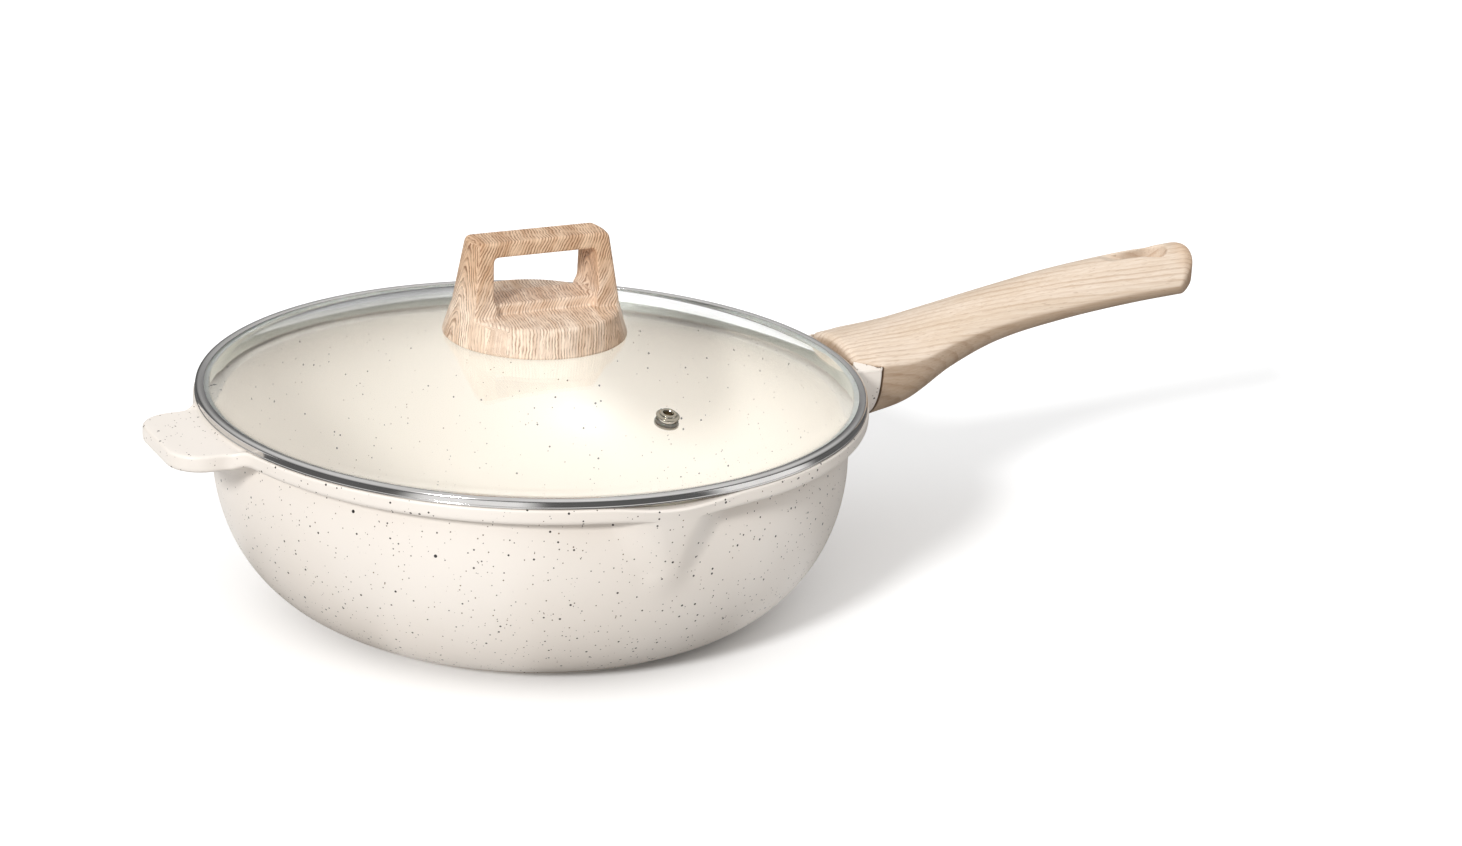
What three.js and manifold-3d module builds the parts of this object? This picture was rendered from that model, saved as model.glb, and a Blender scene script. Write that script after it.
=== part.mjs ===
// A deep cast-aluminium pan with two pouring spouts, a cast helper handle, a wood-look main handle
// and a lift-off domed glass lid with a wood-look bridge knob.
// Millimetres, +Z up. The origin is on the ground under the pan's axis, +X runs along the main handle,
// the helper handle points to -X, and the spouts point to -Y and +Y.
import * as THREE from "three";
import { mergeVertices } from "three/addons/utils/BufferGeometryUtils.js";
import Module from "manifold-3d";

const wasm = await Module();
wasm.setup();

// ---- driving dimensions ----
const ROUND = 60; // facets round the pan, the lid band and the glass
const SMALL_ROUND = 16; // facets round screws, washers and other small turned pieces
const GAP = 0.3; // space kept between pieces that rest on each other
const DEG = Math.PI / 180;

// pan
const FOOT_R = 91.6; // flat ground ring the pan stands on
const FOOT_H = 1.6;
const FLOOR_Z = 6; // cooking surface
const FLOOR_R = 88;
const GROOVE_Z = 84.2; // top of the bowl wall, under the rim's bead
const GROOVE_R = 135.5;
const RIM_R = 144.8;
const RIM_Z = 93;
const RIM_BEAD_R = 4.2; // rounding of the bead's underside
const MOUTH_R = 138.6; // recess that the lid's skirt drops into
const LEDGE_Z = 86.9;
const LEDGE_R = 133;
const WALL = 3.2;

// pouring spouts
const SPOUT_HALF_ANGLE = 14 * DEG;
const SPOUT_FLUSH = [6.5 * DEG, 12.5 * DEG]; // the bead has sunk into the swollen wall inside these
const SPOUT_OUT = 1.2;
const SPOUT_DIP = 2.2;
const SPOUT_BASE_Z = 45; // the wall starts to swell here
const SPOUT_BASE_R = 133.6;

// induction plate let into the base
const PLATE_R = 76;
const PLATE_H = 1.2;
const PLATE_HOLE_R = 3.2;

// helper handle
const WING_END = 169.3;
const WING_HALF = 28.6;
const WING_ROOT_HALF = 41;
const WING_CORNER_R = 15;
const WING_TOP_Z = 91.6;
const WING_BOTTOM_Z = 84.4;

// bracket and tongue that carry the main handle
const BRACKET_ROOT = 129;
const BRACKET_END = 158;
const BRACKET_HALF = 25.7;
const BRACKET_LOW_HALF = 19;
const BRACKET_LOW_Z = 65;
const TONGUE_END = 194;
const TONGUE_HALF = 8;
const TONGUE_Z = [79, 88.5];

// main handle: along x, the half width, then the heights of its crown, side crease and belly
const STATIONS = [
  [158.3, 26.0, 102.4, 94.0, 64.5],
  [178.0, 24.4, 105.4, 94.4, 69.4],
  [200.0, 21.0, 109.6, 100.2, 82.2],
  [225.0, 18.2, 114.9, 104.8, 92.2],
  [258.0, 17.2, 120.8, 108.6, 98.6],
  [296.0, 17.2, 125.0, 111.8, 103.0],
  [333.5, 17.6, 127.6, 113.4, 105.6],
];
const HANDLE_ROUND_START = 318; // the rounded end begins here
const CROWN_POWER = 2.2;
const BELLY_POWER = 2.4;
const NOSE_X = 146.6; // the wood's crown runs on over the bracket to just short of the rim
const NOSE_HALF = 20;
const SOCKET_GAP = 0.5;
const HANG_SLOT = { from: 298, to: 320, half: 7, nearHalf: 4.6 };

// handle screw, vertical, from below
const HANDLE_SCREW_X = 178;
const HANDLE_SEAT_Z = 75.5;
const HEAD_POCKET_R = 6;

// lid
const GLASS_APEX_Z = 121.2;
const GLASS_SPHERE_R = 398.5;
const GLASS_T = 2.7;
const GLASS_R = 142.8;
const GLASS_LAND_TOP = 96.6;
const GLASS_LAND_R = 138.3;
const GLASS_BORE_R = 5;
const BAND_R = 144;
const BAND_T = 0.5;
const BAND_TOP_Z = 97.3;
const BAND_LIP_R = 140.3; // inner edge of the rolled top lip
const SKIRT_R = 137.5;
const SKIRT_BOTTOM_Z = 88.6;

// steam vent, set square to the glass
const VENT_R = 95;
const VENT_AZIMUTH = -78.7 * DEG;
const VENT_HOLE_R = 3.9;

// knob
const KNOB_BASE_Z = 119.6;
const KNOB_BASE_R = 39.4;
const KNOB_SHOULDER_Z = 131.8;
const KNOB_SHOULDER_R = 36;
const KNOB_TOP_Z = 163.2;
const KNOB_TOP_R = 30.8;
const KNOB_SHOULDER_HALF = 13.1; // half thickness of the bridge where it leaves the base
const KNOB_TOP_HALF = 8.4;
const SADDLE_HALF = 9.5; // the bridge's foot is thinner between its legs
const WINDOW_Z = [136.3, 156.8];
const WINDOW_HALF = [24.4, 23.4]; // bottom, top
const WINDOW_CORNER_R = 4;
const KNOB_TOP_CHAMFER = 1.6;
const KNOB_FACETS = 40;
const KNOB_CLEAR = KNOB_BASE_R + 5; // reach of the cutting shapes, past the knob on every side
const KNOB_SHELL = 3;
const BOSS_R = 8;
const BOSS_LIFT = 3.6; // the screw boss stops this far above the knob's lower edge
const INSERT_R = 4;
const INSERT_H = 10;

// knob screw
const SCREW_R = 2.5;
const THREAD_BORE_R = SCREW_R + GAP;

// ---- solids ----
function solidOf(geometry) {
  const bare = geometry.clone();
  for (const name of Object.keys(bare.attributes)) if (name !== "position") bare.deleteAttribute(name);
  const merged = mergeVertices(bare, 1e-4);
  const index = merged.index.array;
  const kept = [];
  for (let i = 0; i < index.length; i += 3) {
    const [a, b, c] = [index[i], index[i + 1], index[i + 2]];
    if (a !== b && b !== c && c !== a) kept.push(a, b, c);
  }
  const mesh = new wasm.Mesh({
    numProp: 3,
    vertProperties: merged.attributes.position.array,
    triVerts: new Uint32Array(kept),
  });
  return new wasm.Manifold(mesh);
}

function geometryOf(solid) {
  const mesh = solid.getMesh();
  const geometry = new THREE.BufferGeometry();
  geometry.setAttribute("position", new THREE.BufferAttribute(mesh.vertProperties, 3));
  geometry.setIndex(new THREE.BufferAttribute(mesh.triVerts, 1));
  geometry.computeVertexNormals();
  return geometry;
}

const joined = (first, ...more) => more.reduce((sum, one) => sum.add(one), first);
const cut = (first, ...more) => more.reduce((rest, one) => rest.subtract(one), first);

// A turned solid about Z. The outline is a list of [radius, height] or a THREE.Path,
// anticlockwise as seen with radius to the right and height up.
function turned(outline, facets = SMALL_ROUND) {
  const points = outline.map((p) => (p.isVector2 ? p : new THREE.Vector2(p[0], p[1])));
  const ends = [points[0], points[points.length - 1]];
  if (ends.some((p) => p.x > 0)) points.push(points[0].clone());
  return new THREE.LatheGeometry(points, facets).rotateX(Math.PI / 2);
}

const ring = (rIn, rOut, z0, z1, facets = SMALL_ROUND) =>
  turned([[rIn, z0], [rOut, z0], [rOut, z1], [rIn, z1]], facets);

const disc = (r, z0, z1, facets = SMALL_ROUND) =>
  turned([[0, z0], [r, z0], [r, z1], [0, z1]], facets);

function block(x0, x1, y0, y1, z0, z1) {
  const box = new THREE.BoxGeometry(x1 - x0, y1 - y0, z1 - z0);
  return box.translate((x0 + x1) / 2, (y0 + y1) / 2, (z0 + z1) / 2);
}

// A plan outline in x and y, raised from z0 to z1.
const raised = (shape, z0, z1, curveSegments = 6) =>
  new THREE.ExtrudeGeometry(shape, { depth: z1 - z0, bevelEnabled: false, curveSegments })
    .translate(0, 0, z0);

// A side outline in x and z, spread to both sides of y = 0.
const spread = (shape, half, curveSegments = 6) =>
  new THREE.ExtrudeGeometry(shape, { depth: 2 * half, bevelEnabled: false, curveSegments })
    .rotateX(Math.PI / 2)
    .translate(0, half, 0);

// Closed skin over rings of points that all have the same count, capped by a fan at each end.
function lofted(rings) {
  const count = rings[0].length;
  const positions = rings.flat().flatMap((p) => [p.x, p.y, p.z]);
  const index = [];
  for (let i = 0; i + 1 < rings.length; i++)
    for (let j = 0; j < count; j++) {
      const [a, b] = [i * count + j, i * count + ((j + 1) % count)];
      index.push(a, b, a + count, b, b + count, a + count);
    }
  for (let j = 1; j + 1 < count; j++) {
    const last = (rings.length - 1) * count;
    index.push(0, j + 1, j, last, last + j, last + j + 1);
  }
  const geometry = new THREE.BufferGeometry();
  geometry.setAttribute("position", new THREE.Float32BufferAttribute(positions, 3));
  geometry.setIndex(index);
  return geometry;
}

const smooth = (t) => THREE.MathUtils.smoothstep(t, 0, 1);

// ---- pan ----
const bezier = (points, steps) =>
  new THREE.CubicBezierCurve(...points.map(([r, z]) => new THREE.Vector2(r, z))).getPoints(steps);

function arc(r, z, radius, from, to, steps) {
  return Array.from({ length: steps + 1 }, (_, i) => {
    const a = THREE.MathUtils.lerp(from, to, i / steps);
    return [r + radius * Math.cos(a), z + radius * Math.sin(a)];
  });
}

// Outline of the bowl, rim and inside, from the middle of the base round to the middle of the floor.
function panOutline() {
  const beadZ = GROOVE_Z + 1.4 + RIM_BEAD_R;
  return [
    [0, 0],
    [FOOT_R, 0],
    [FOOT_R, FOOT_H],
    ...bezier([[FOOT_R + 1.7, FOOT_H + 0.2], [123.5, 11.3], [142.4, 44.7], [GROOVE_R, GROOVE_Z]], 9),
    [GROOVE_R + 1.4, GROOVE_Z + 1.4],
    ...arc(RIM_R - RIM_BEAD_R, beadZ, RIM_BEAD_R, -90 * DEG, 0, 4),
    [RIM_R, RIM_Z - 1.1],
    [RIM_R - 1.1, RIM_Z],
    [MOUTH_R + 0.4, RIM_Z],
    [MOUTH_R, RIM_Z - 0.4],
    [MOUTH_R, LEDGE_Z],
    [LEDGE_R + 0.8, LEDGE_Z],
    [LEDGE_R, LEDGE_Z - 0.8],
    ...bezier([[GROOVE_R - WALL, GROOVE_Z - 0.5], [139.2, 45], [118, 7.5], [FLOOR_R, FLOOR_Z]], 8),
    [0, FLOOR_Z],
  ];
}

// The spouts swell outwards until the bead is lost in the wall, and dip at the rim.
function pushSpouts(geometry) {
  const place = geometry.attributes.position;
  const p = new THREE.Vector3();
  const [near, far] = SPOUT_FLUSH;
  for (let i = 0; i < place.count; i++) {
    p.fromBufferAttribute(place, i);
    const aside = Math.atan2(Math.abs(p.x), Math.abs(p.y));
    if (aside > SPOUT_HALF_ANGLE || p.z < SPOUT_BASE_Z) continue;
    const side = Math.cos(((Math.PI / 2) * aside) / SPOUT_HALF_ANGLE) ** 2;
    const radius = Math.hypot(p.x, p.y);
    const rise = (p.z - SPOUT_BASE_Z) / (RIM_Z - SPOUT_BASE_Z);
    const out = SPOUT_OUT * side * smooth(rise * 1.15);
    const flush = THREE.MathUtils.lerp(SPOUT_BASE_R, RIM_R, rise);
    const mouth = radius < MOUTH_R + 1 && p.z > LEDGE_Z - 1;
    const outside = !mouth && (radius > GROOVE_R - 1 || radius > flush - WALL / 2);
    const spread = Math.max(0.2, rise); // each spout is narrow at its foot and wide at the rim
    const sunk = outside ? 0.97 * smooth((far * spread - aside) / ((far - near) * spread)) : 0;
    const wide = THREE.MathUtils.lerp(radius, Math.max(radius, flush), sunk) + out;
    const dip = SPOUT_DIP * side * smooth((p.z - GROOVE_Z) / (RIM_Z - GROOVE_Z));
    place.setXYZ(i, (p.x * wide) / radius, (p.y * wide) / radius, p.z - dip);
  }
  return geometry;
}

// Rounded slab with hollow flares where it leaves the rim.
function wing() {
  const root = Math.sqrt(RIM_R ** 2 - WING_ROOT_HALF ** 2);
  const cornerX = WING_END - WING_CORNER_R;
  const cornerY = WING_HALF - WING_CORNER_R;
  const waist = cornerX - 4;
  const shape = new THREE.Shape();
  shape.moveTo(-(root - 12), -WING_ROOT_HALF);
  shape.lineTo(-(root - 12), WING_ROOT_HALF);
  shape.lineTo(-(root - 1), WING_ROOT_HALF);
  shape.quadraticCurveTo(-(root + 6.5), WING_HALF + 1, -waist, WING_HALF);
  shape.lineTo(-cornerX, WING_HALF);
  shape.absarc(-cornerX, cornerY, WING_CORNER_R, 90 * DEG, 180 * DEG, false);
  shape.absarc(-cornerX, -cornerY, WING_CORNER_R, 180 * DEG, 270 * DEG, false);
  shape.lineTo(-waist, -WING_HALF);
  shape.quadraticCurveTo(-(root + 6.5), -(WING_HALF + 1), -(root - 1), -WING_ROOT_HALF);
  shape.closePath();
  return raised(shape, WING_BOTTOM_Z, WING_TOP_Z);
}

// Half the bracket's plan outline at one height: flared at the rim, straight at the joint.
function bracketRing(z) {
  const t = (RIM_Z - z) / (RIM_Z - BRACKET_LOW_Z);
  const half = THREE.MathUtils.lerp(BRACKET_HALF, BRACKET_LOW_HALF, t);
  const flare = THREE.MathUtils.lerp(4, 1.5, t);
  const plan = [
    [BRACKET_ROOT, half + flare],
    [143, half + flare],
    [148, half + flare / 4],
    [BRACKET_END, half],
  ];
  const far = plan.map(([x, y]) => new THREE.Vector3(x, y, z)).reverse();
  const near = plan.map(([x, y]) => new THREE.Vector3(x, -y, z));
  return [...near, ...far];
}

function panBody() {
  const bowl = solidOf(pushSpouts(turned(panOutline(), ROUND)));
  const bracket = solidOf(lofted([bracketRing(BRACKET_LOW_Z), bracketRing(RIM_Z)]));
  const tongue = solidOf(
    block(BRACKET_END - 4, TONGUE_END, -TONGUE_HALF, TONGUE_HALF, ...TONGUE_Z),
  );
  // Everything inside the mouth and the wall is cleared again after the castings are joined.
  const inside = solidOf(
    turned([[0, 40], [LEDGE_R - 0.7, 40], [LEDGE_R - 0.7, LEDGE_Z], [MOUTH_R, LEDGE_Z],
      [MOUTH_R, RIM_Z + 5], [0, RIM_Z + 5]], ROUND),
  );
  const threaded = solidOf(
    disc(THREAD_BORE_R, TONGUE_Z[0] - 1, TONGUE_Z[1] - 1.5).translate(HANDLE_SCREW_X, 0, 0),
  );
  const plateSeat = solidOf(disc(PLATE_R + GAP, -1, PLATE_H + GAP, ROUND));
  const castings = cut(joined(solidOf(wing()), bracket), inside);
  return cut(joined(bowl, castings, tongue), threaded, plateSeat);
}

// Steel disc with two rings of holes, solid in the middle.
function inductionPlate() {
  let plate = solidOf(disc(PLATE_R, 0, PLATE_H, ROUND));
  for (const [radius, count] of [[34, 6], [56, 12]])
    for (let i = 0; i < count; i++) {
      const a = (2 * Math.PI * i) / count;
      const hole = disc(PLATE_HOLE_R, -1, PLATE_H + 1, 8);
      plate = cut(plate, solidOf(hole.translate(radius * Math.cos(a), radius * Math.sin(a), 0)));
    }
  return plate;
}

// ---- main handle ----
// Smooth values between the stations (Catmull-Rom through each column).
function station(x) {
  const last = STATIONS.length - 1;
  let i = 0;
  while (i < last - 1 && x > STATIONS[i + 1][0]) i++;
  const pick = (k) => STATIONS[THREE.MathUtils.clamp(k, 0, last)];
  const [a, b, c, d] = [pick(i - 1), pick(i), pick(i + 1), pick(i + 2)];
  const span = c[0] - b[0];
  const t = (x - b[0]) / span;
  return [1, 2, 3, 4].map((k) => {
    const slopeB = ((c[k] - a[k]) / (c[0] - a[0])) * span;
    const slopeC = ((d[k] - b[k]) / (d[0] - b[0])) * span;
    const [t2, t3] = [t * t, t * t * t];
    return (2 * t3 - 3 * t2 + 1) * b[k] + (t3 - 2 * t2 + t) * slopeB
      + (3 * t2 - 2 * t3) * c[k] + (t3 - t2) * slopeC;
  });
}

// One cross-section of the grip: a crowned top and a rounder belly that meet at a crease on each side.
function gripRing(x, steps = 12) {
  const [half, crown, crease, belly] = station(x);
  const end = STATIONS[STATIONS.length - 1][0];
  const t = Math.max(0, (x - HANDLE_ROUND_START) / (end - HANDLE_ROUND_START));
  const narrow = Math.sqrt(Math.max(0.06, 1 - t * t));
  const thin = Math.sqrt(Math.max(0.3, 1 - t ** 4));
  const ringPoints = [];
  for (let i = 0; i < steps; i++) {
    const v = -Math.cos((Math.PI * i) / steps);
    const z = crease + (belly - crease) * thin * (1 - Math.abs(v) ** BELLY_POWER) ** (1 / BELLY_POWER);
    ringPoints.push(new THREE.Vector3(x, v * half * narrow, z));
  }
  for (let i = 0; i < steps; i++) {
    const v = Math.cos((Math.PI * i) / steps);
    const z = crease + (crown - crease) * thin * (1 - Math.abs(v) ** CROWN_POWER);
    ringPoints.push(new THREE.Vector3(x, v * half * narrow, z));
  }
  return ringPoints;
}

// One cross-section of the crown where it lies on the bracket, flat underneath.
function noseRing(x, half) {
  const [, crown, crease] = station(STATIONS[0][0]);
  const steps = 12;
  const top = Array.from({ length: steps + 1 }, (_, i) => {
    const v = Math.cos((Math.PI * i) / steps);
    return new THREE.Vector3(x, v * half, crease + (crown - crease) * (1 - Math.abs(v) ** CROWN_POWER));
  });
  const flat = RIM_Z + GAP;
  return [new THREE.Vector3(x, -half, flat), new THREE.Vector3(x, half, flat), ...top];
}

function nose() {
  const [start, half] = STATIONS[0];
  const middle = THREE.MathUtils.lerp(NOSE_HALF, half, 0.6);
  return solidOf(lofted([
    noseRing(NOSE_X, NOSE_HALF), noseRing((NOSE_X + start) / 2, middle), noseRing(start + 2, half - 0.2),
  ]));
}

// Tear-drop hole to hang the pan by, wide towards the end of the handle.
function hangSlot() {
  const { from, to, half, nearHalf } = HANG_SLOT;
  const shape = new THREE.Shape();
  shape.absarc(to - half, 0, half, -90 * DEG, 90 * DEG, false);
  shape.absarc(from + nearHalf, 0, nearHalf, 90 * DEG, 270 * DEG, false);
  shape.closePath();
  return solidOf(raised(shape, 80, 140, 5));
}

function mainHandle() {
  const end = STATIONS[STATIONS.length - 1][0];
  const stops = [158.3, 168, 178, 189, 200, 212, 225, 242, 260, 280, 300, 316, HANDLE_ROUND_START];
  for (const t of [0.4, 0.65, 0.85, 0.95, 1]) stops.push(THREE.MathUtils.lerp(HANDLE_ROUND_START, end, t));
  const grip = solidOf(lofted(stops.map((x) => gripRing(x))));
  const room = SOCKET_GAP;
  const side = TONGUE_HALF + room;
  const socket = solidOf(
    block(BRACKET_END - 8, TONGUE_END + room, -side, side, TONGUE_Z[0] - room, TONGUE_Z[1] + room),
  );
  const pocket = solidOf(disc(HEAD_POCKET_R, 50, HANDLE_SEAT_Z).translate(HANDLE_SCREW_X, 0, 0));
  const shaft = solidOf(disc(THREAD_BORE_R, 50, TONGUE_Z[0]).translate(HANDLE_SCREW_X, 0, 0));
  return cut(joined(grip, nose()), socket, pocket, shaft, hangSlot());
}

// Screw standing on its head: shank upwards, cross recess in the face of the head.
function crossScrew(headR, headH, length) {
  const body = solidOf(turned([
    [0, 0], [headR * 0.55, 0], [headR * 0.9, headH * 0.35], [headR, headH * 0.7], [headR, headH],
    [SCREW_R, headH], [SCREW_R, headH + length - 0.6], [SCREW_R - 0.6, headH + length], [0, headH + length],
  ]));
  const reach = headR * 0.55;
  const depth = headH * 0.5;
  const slot = block(-reach, reach, -0.5, 0.5, -1, depth);
  return cut(body, solidOf(slot), solidOf(slot.clone().rotateZ(Math.PI / 2)));
}

// Split spring washer: a ring with a narrow slit.
function springWasher(rIn, rOut, height) {
  return cut(solidOf(ring(rIn, rOut, 0, height)), solidOf(block(0, rOut + 1, -0.35, 0.35, -1, height + 1)));
}

// ---- lid ----
// Height of a dome of the given sphere radius at radius r from its middle.
const domeZ = (r, sphere = GLASS_SPHERE_R, apex = GLASS_APEX_Z) =>
  apex - sphere + Math.sqrt(sphere ** 2 - r ** 2);

function ventPlacement() {
  const x = VENT_R * Math.cos(VENT_AZIMUTH);
  const y = VENT_R * Math.sin(VENT_AZIMUTH);
  const z = domeZ(VENT_R);
  const centre = new THREE.Vector3(0, 0, GLASS_APEX_Z - GLASS_SPHERE_R);
  const up = new THREE.Vector3(x, y, z).sub(centre).normalize();
  const turn = new THREE.Quaternion().setFromUnitVectors(new THREE.Vector3(0, 0, 1), up);
  return { place: new THREE.Vector3(x, y, z), turn };
}

function lidGlass() {
  const radii = [GLASS_BORE_R, 35, 65, VENT_R, 117, GLASS_LAND_R];
  const under = (r) => domeZ(r, GLASS_SPHERE_R - GLASS_T, GLASS_APEX_Z - GLASS_T);
  const landBottom = GLASS_LAND_TOP - GLASS_T;
  const outline = [
    ...radii.slice(0, -1).map((r) => [r, under(r)]),
    [GLASS_LAND_R - 1, landBottom],
    [GLASS_R, landBottom],
    [GLASS_R, GLASS_LAND_TOP],
    ...radii.slice().reverse().map((r) => [r, domeZ(r)]),
  ];
  const { place, turn } = ventPlacement();
  const hole = disc(VENT_HOLE_R, -10, 10, 16).applyQuaternion(turn).translate(place.x, place.y, place.z);
  return cut(solidOf(turned(outline, ROUND)), solidOf(hole));
}

// Rolled stainless band: top lip over the glass, outer wall, flange on the rim, skirt inside the mouth.
function lidBand() {
  const bottom = RIM_Z + GAP;
  const inner = BAND_R - BAND_T;
  return turned([
    [BAND_R, bottom], [BAND_R, BAND_TOP_Z - 1.1], [BAND_R - 1.1, BAND_TOP_Z],
    [BAND_LIP_R + 1, BAND_TOP_Z - 0.15], [BAND_LIP_R, BAND_TOP_Z - 0.5], [inner - 0.5, BAND_TOP_Z - 0.55],
    [inner, BAND_TOP_Z - 1], [inner, bottom + BAND_T], [SKIRT_R + 0.4, bottom + BAND_T],
    [SKIRT_R - 0.5, bottom - 0.4], [SKIRT_R - 1, SKIRT_BOTTOM_Z], [SKIRT_R - 0.5, SKIRT_BOTTOM_Z],
    [SKIRT_R, bottom - 0.6], [SKIRT_R + 0.6, bottom],
  ], ROUND);
}

// The knob's solid of revolution: base cone, shoulder and bridge in one outline, hollow underneath.
function knobTurning() {
  const low = KNOB_BASE_Z;
  const cavityTop = KNOB_SHOULDER_Z - KNOB_SHELL;
  return turned([
    [0, low + BOSS_LIFT], [BOSS_R, low + BOSS_LIFT], [BOSS_R + 0.6, cavityTop],
    [KNOB_SHOULDER_R - KNOB_SHELL, cavityTop], [KNOB_BASE_R - KNOB_SHELL, low + 0.6],
    [KNOB_BASE_R - KNOB_SHELL + 0.4, low], [KNOB_BASE_R - 1, low], [KNOB_BASE_R, low + 1.2],
    [KNOB_SHOULDER_R, KNOB_SHOULDER_Z], [KNOB_TOP_R, KNOB_TOP_Z - 2.5],
    [KNOB_TOP_R - 0.8, KNOB_TOP_Z - 0.8], [KNOB_TOP_R - 2.5, KNOB_TOP_Z], [0, KNOB_TOP_Z],
  ], KNOB_FACETS);
}

// What is cut from one side of the turning to leave the sloping face of the bridge.
function bridgeShave() {
  const slope = (KNOB_SHOULDER_HALF - KNOB_TOP_HALF) / (KNOB_TOP_Z - KNOB_SHOULDER_Z);
  const shape = new THREE.Shape();
  shape.moveTo(KNOB_SHOULDER_HALF, KNOB_SHOULDER_Z);
  shape.lineTo(KNOB_CLEAR, KNOB_SHOULDER_Z);
  shape.lineTo(KNOB_CLEAR, KNOB_TOP_Z + 5);
  shape.lineTo(KNOB_TOP_HALF - 5 * slope, KNOB_TOP_Z + 5);
  shape.lineTo(KNOB_TOP_HALF - KNOB_TOP_CHAMFER, KNOB_TOP_Z);
  shape.lineTo(KNOB_TOP_HALF, KNOB_TOP_Z - KNOB_TOP_CHAMFER);
  shape.closePath();
  return spread(shape, KNOB_CLEAR).rotateZ(Math.PI / 2);
}

// What is cut from one side of the bridge's foot, between its legs.
function footShave() {
  const [z0] = WINDOW_Z;
  const shape = new THREE.Shape();
  shape.moveTo(KNOB_SHOULDER_HALF, KNOB_SHOULDER_Z);
  shape.lineTo(KNOB_CLEAR, KNOB_SHOULDER_Z);
  shape.lineTo(KNOB_CLEAR, z0 + 1);
  shape.lineTo(SADDLE_HALF, z0 + 1);
  shape.lineTo(SADDLE_HALF, z0);
  shape.closePath();
  return spread(shape, WINDOW_HALF[0] - 2).rotateZ(Math.PI / 2);
}

// Finger window through the bridge, with rounder corners at the bottom.
function knobWindow() {
  const [z0, z1] = WINDOW_Z;
  const [low, high] = WINDOW_HALF;
  const c = WINDOW_CORNER_R;
  const shape = new THREE.Shape();
  shape.moveTo(-low + c, z0);
  shape.lineTo(low - c, z0);
  shape.quadraticCurveTo(low, z0, low, z0 + c);
  shape.lineTo(high, z1 - c / 2);
  shape.quadraticCurveTo(high, z1, high - c / 2, z1);
  shape.lineTo(-high + c / 2, z1);
  shape.quadraticCurveTo(-high, z1, -high, z1 - c / 2);
  shape.lineTo(-low, z0 + c);
  shape.quadraticCurveTo(-low, z0, -low + c, z0);
  return spread(shape, KNOB_CLEAR, 3);
}

function knob() {
  const shaves = [bridgeShave(), footShave()];
  const others = shaves.map((shave) => shave.clone().rotateZ(Math.PI));
  const insertPocket = disc(INSERT_R + GAP, KNOB_BASE_Z, KNOB_BASE_Z + BOSS_LIFT + INSERT_H + 1);
  return cut(solidOf(knobTurning()), ...[...shaves, ...others, knobWindow(), insertPocket].map(solidOf));
}

// ---- assembly ----
const CREAM = { color: 0xece3d6, roughness: 0.5, metalness: 0 };
const STEEL = { color: 0xc4c6c9, roughness: 0.22, metalness: 1 };
const WOOD = { color: 0xdcbf98, roughness: 0.55, metalness: 0 };
const KNOB_WOOD = { color: 0xdcb18a, roughness: 0.55, metalness: 0 };
const GLASS = { color: 0xe4efe9, roughness: 0.03, metalness: 0, transparent: true, opacity: 0.25 };
const SILICONE = { color: 0xe9e6df, roughness: 0.8, metalness: 0 };
const BRASS = { color: 0xb08d45, roughness: 0.35, metalness: 1 };

function piece(name, shape, finish) {
  const geometry = shape.isBufferGeometry ? geometryOf(solidOf(shape)) : geometryOf(shape);
  const mesh = new THREE.Mesh(geometry, new THREE.MeshStandardMaterial(finish));
  mesh.name = name;
  return mesh;
}

function panGroup() {
  const group = new THREE.Group();
  group.add(piece("pan_body", panBody(), CREAM));
  group.add(piece("induction_plate", inductionPlate(), STEEL));
  group.add(piece("main_handle", mainHandle(), WOOD));
  const fastening = new THREE.Group();
  fastening.position.set(HANDLE_SCREW_X, 0, 0);
  const washer = piece("handle_flat_washer", ring(THREAD_BORE_R, 5.2, 0, 0.8), STEEL);
  washer.position.z = HANDLE_SEAT_Z - GAP - 0.8;
  const spring = piece("handle_spring_washer", springWasher(THREAD_BORE_R, 4.5, 1.1), STEEL);
  spring.position.z = washer.position.z - GAP - 1.1;
  const screw = piece("handle_screw", crossScrew(4.3, 2.8, 14), STEEL);
  screw.position.z = spring.position.z - GAP - 2.8;
  fastening.add(washer, spring, screw);
  group.add(fastening);
  return group;
}

function knobStack() {
  const group = new THREE.Group();
  const glassTop = GLASS_APEX_Z;
  const glassUnder = GLASS_APEX_Z - GLASS_T;
  group.add(piece("knob", knob(), KNOB_WOOD));
  const gasket = ring(THREAD_BORE_R, BOSS_R + 1, glassTop + GAP, glassTop + GAP + 1.2);
  group.add(piece("knob_gasket_upper", gasket, SILICONE));
  const sleeve = ring(THREAD_BORE_R, GLASS_BORE_R - GAP, glassUnder + 0.1, glassTop);
  group.add(piece("knob_sleeve", sleeve, SILICONE));
  const insertLow = KNOB_BASE_Z + BOSS_LIFT + 0.4;
  const insert = cut(
    solidOf(disc(INSERT_R, insertLow, insertLow + INSERT_H, 12)),
    solidOf(disc(THREAD_BORE_R, 0, insertLow + INSERT_H - 1)),
  );
  group.add(piece("knob_insert", insert, BRASS));
  let z = glassUnder - GAP;
  const below = (name, shape, height, finish) => {
    z -= height;
    const mesh = piece(name, shape, finish);
    mesh.position.z = z;
    z -= GAP;
    group.add(mesh);
  };
  below("knob_gasket_lower", ring(THREAD_BORE_R, 9.5, 0, 1.2), 1.2, SILICONE);
  const cup = turned([
    [THREAD_BORE_R, 0], [6.2, 0], [9.2, 0.9], [9.2, 1.8], [8.6, 1.8], [5.8, 0.9], [THREAD_BORE_R, 0.9],
  ]);
  below("knob_cup_washer", cup, 1.8, STEEL);
  below("knob_spring_washer", springWasher(THREAD_BORE_R, 4.6, 1.1), 1.1, STEEL);
  below("knob_screw", crossScrew(4.8, 3, 17), 3, STEEL);
  return group;
}

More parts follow.
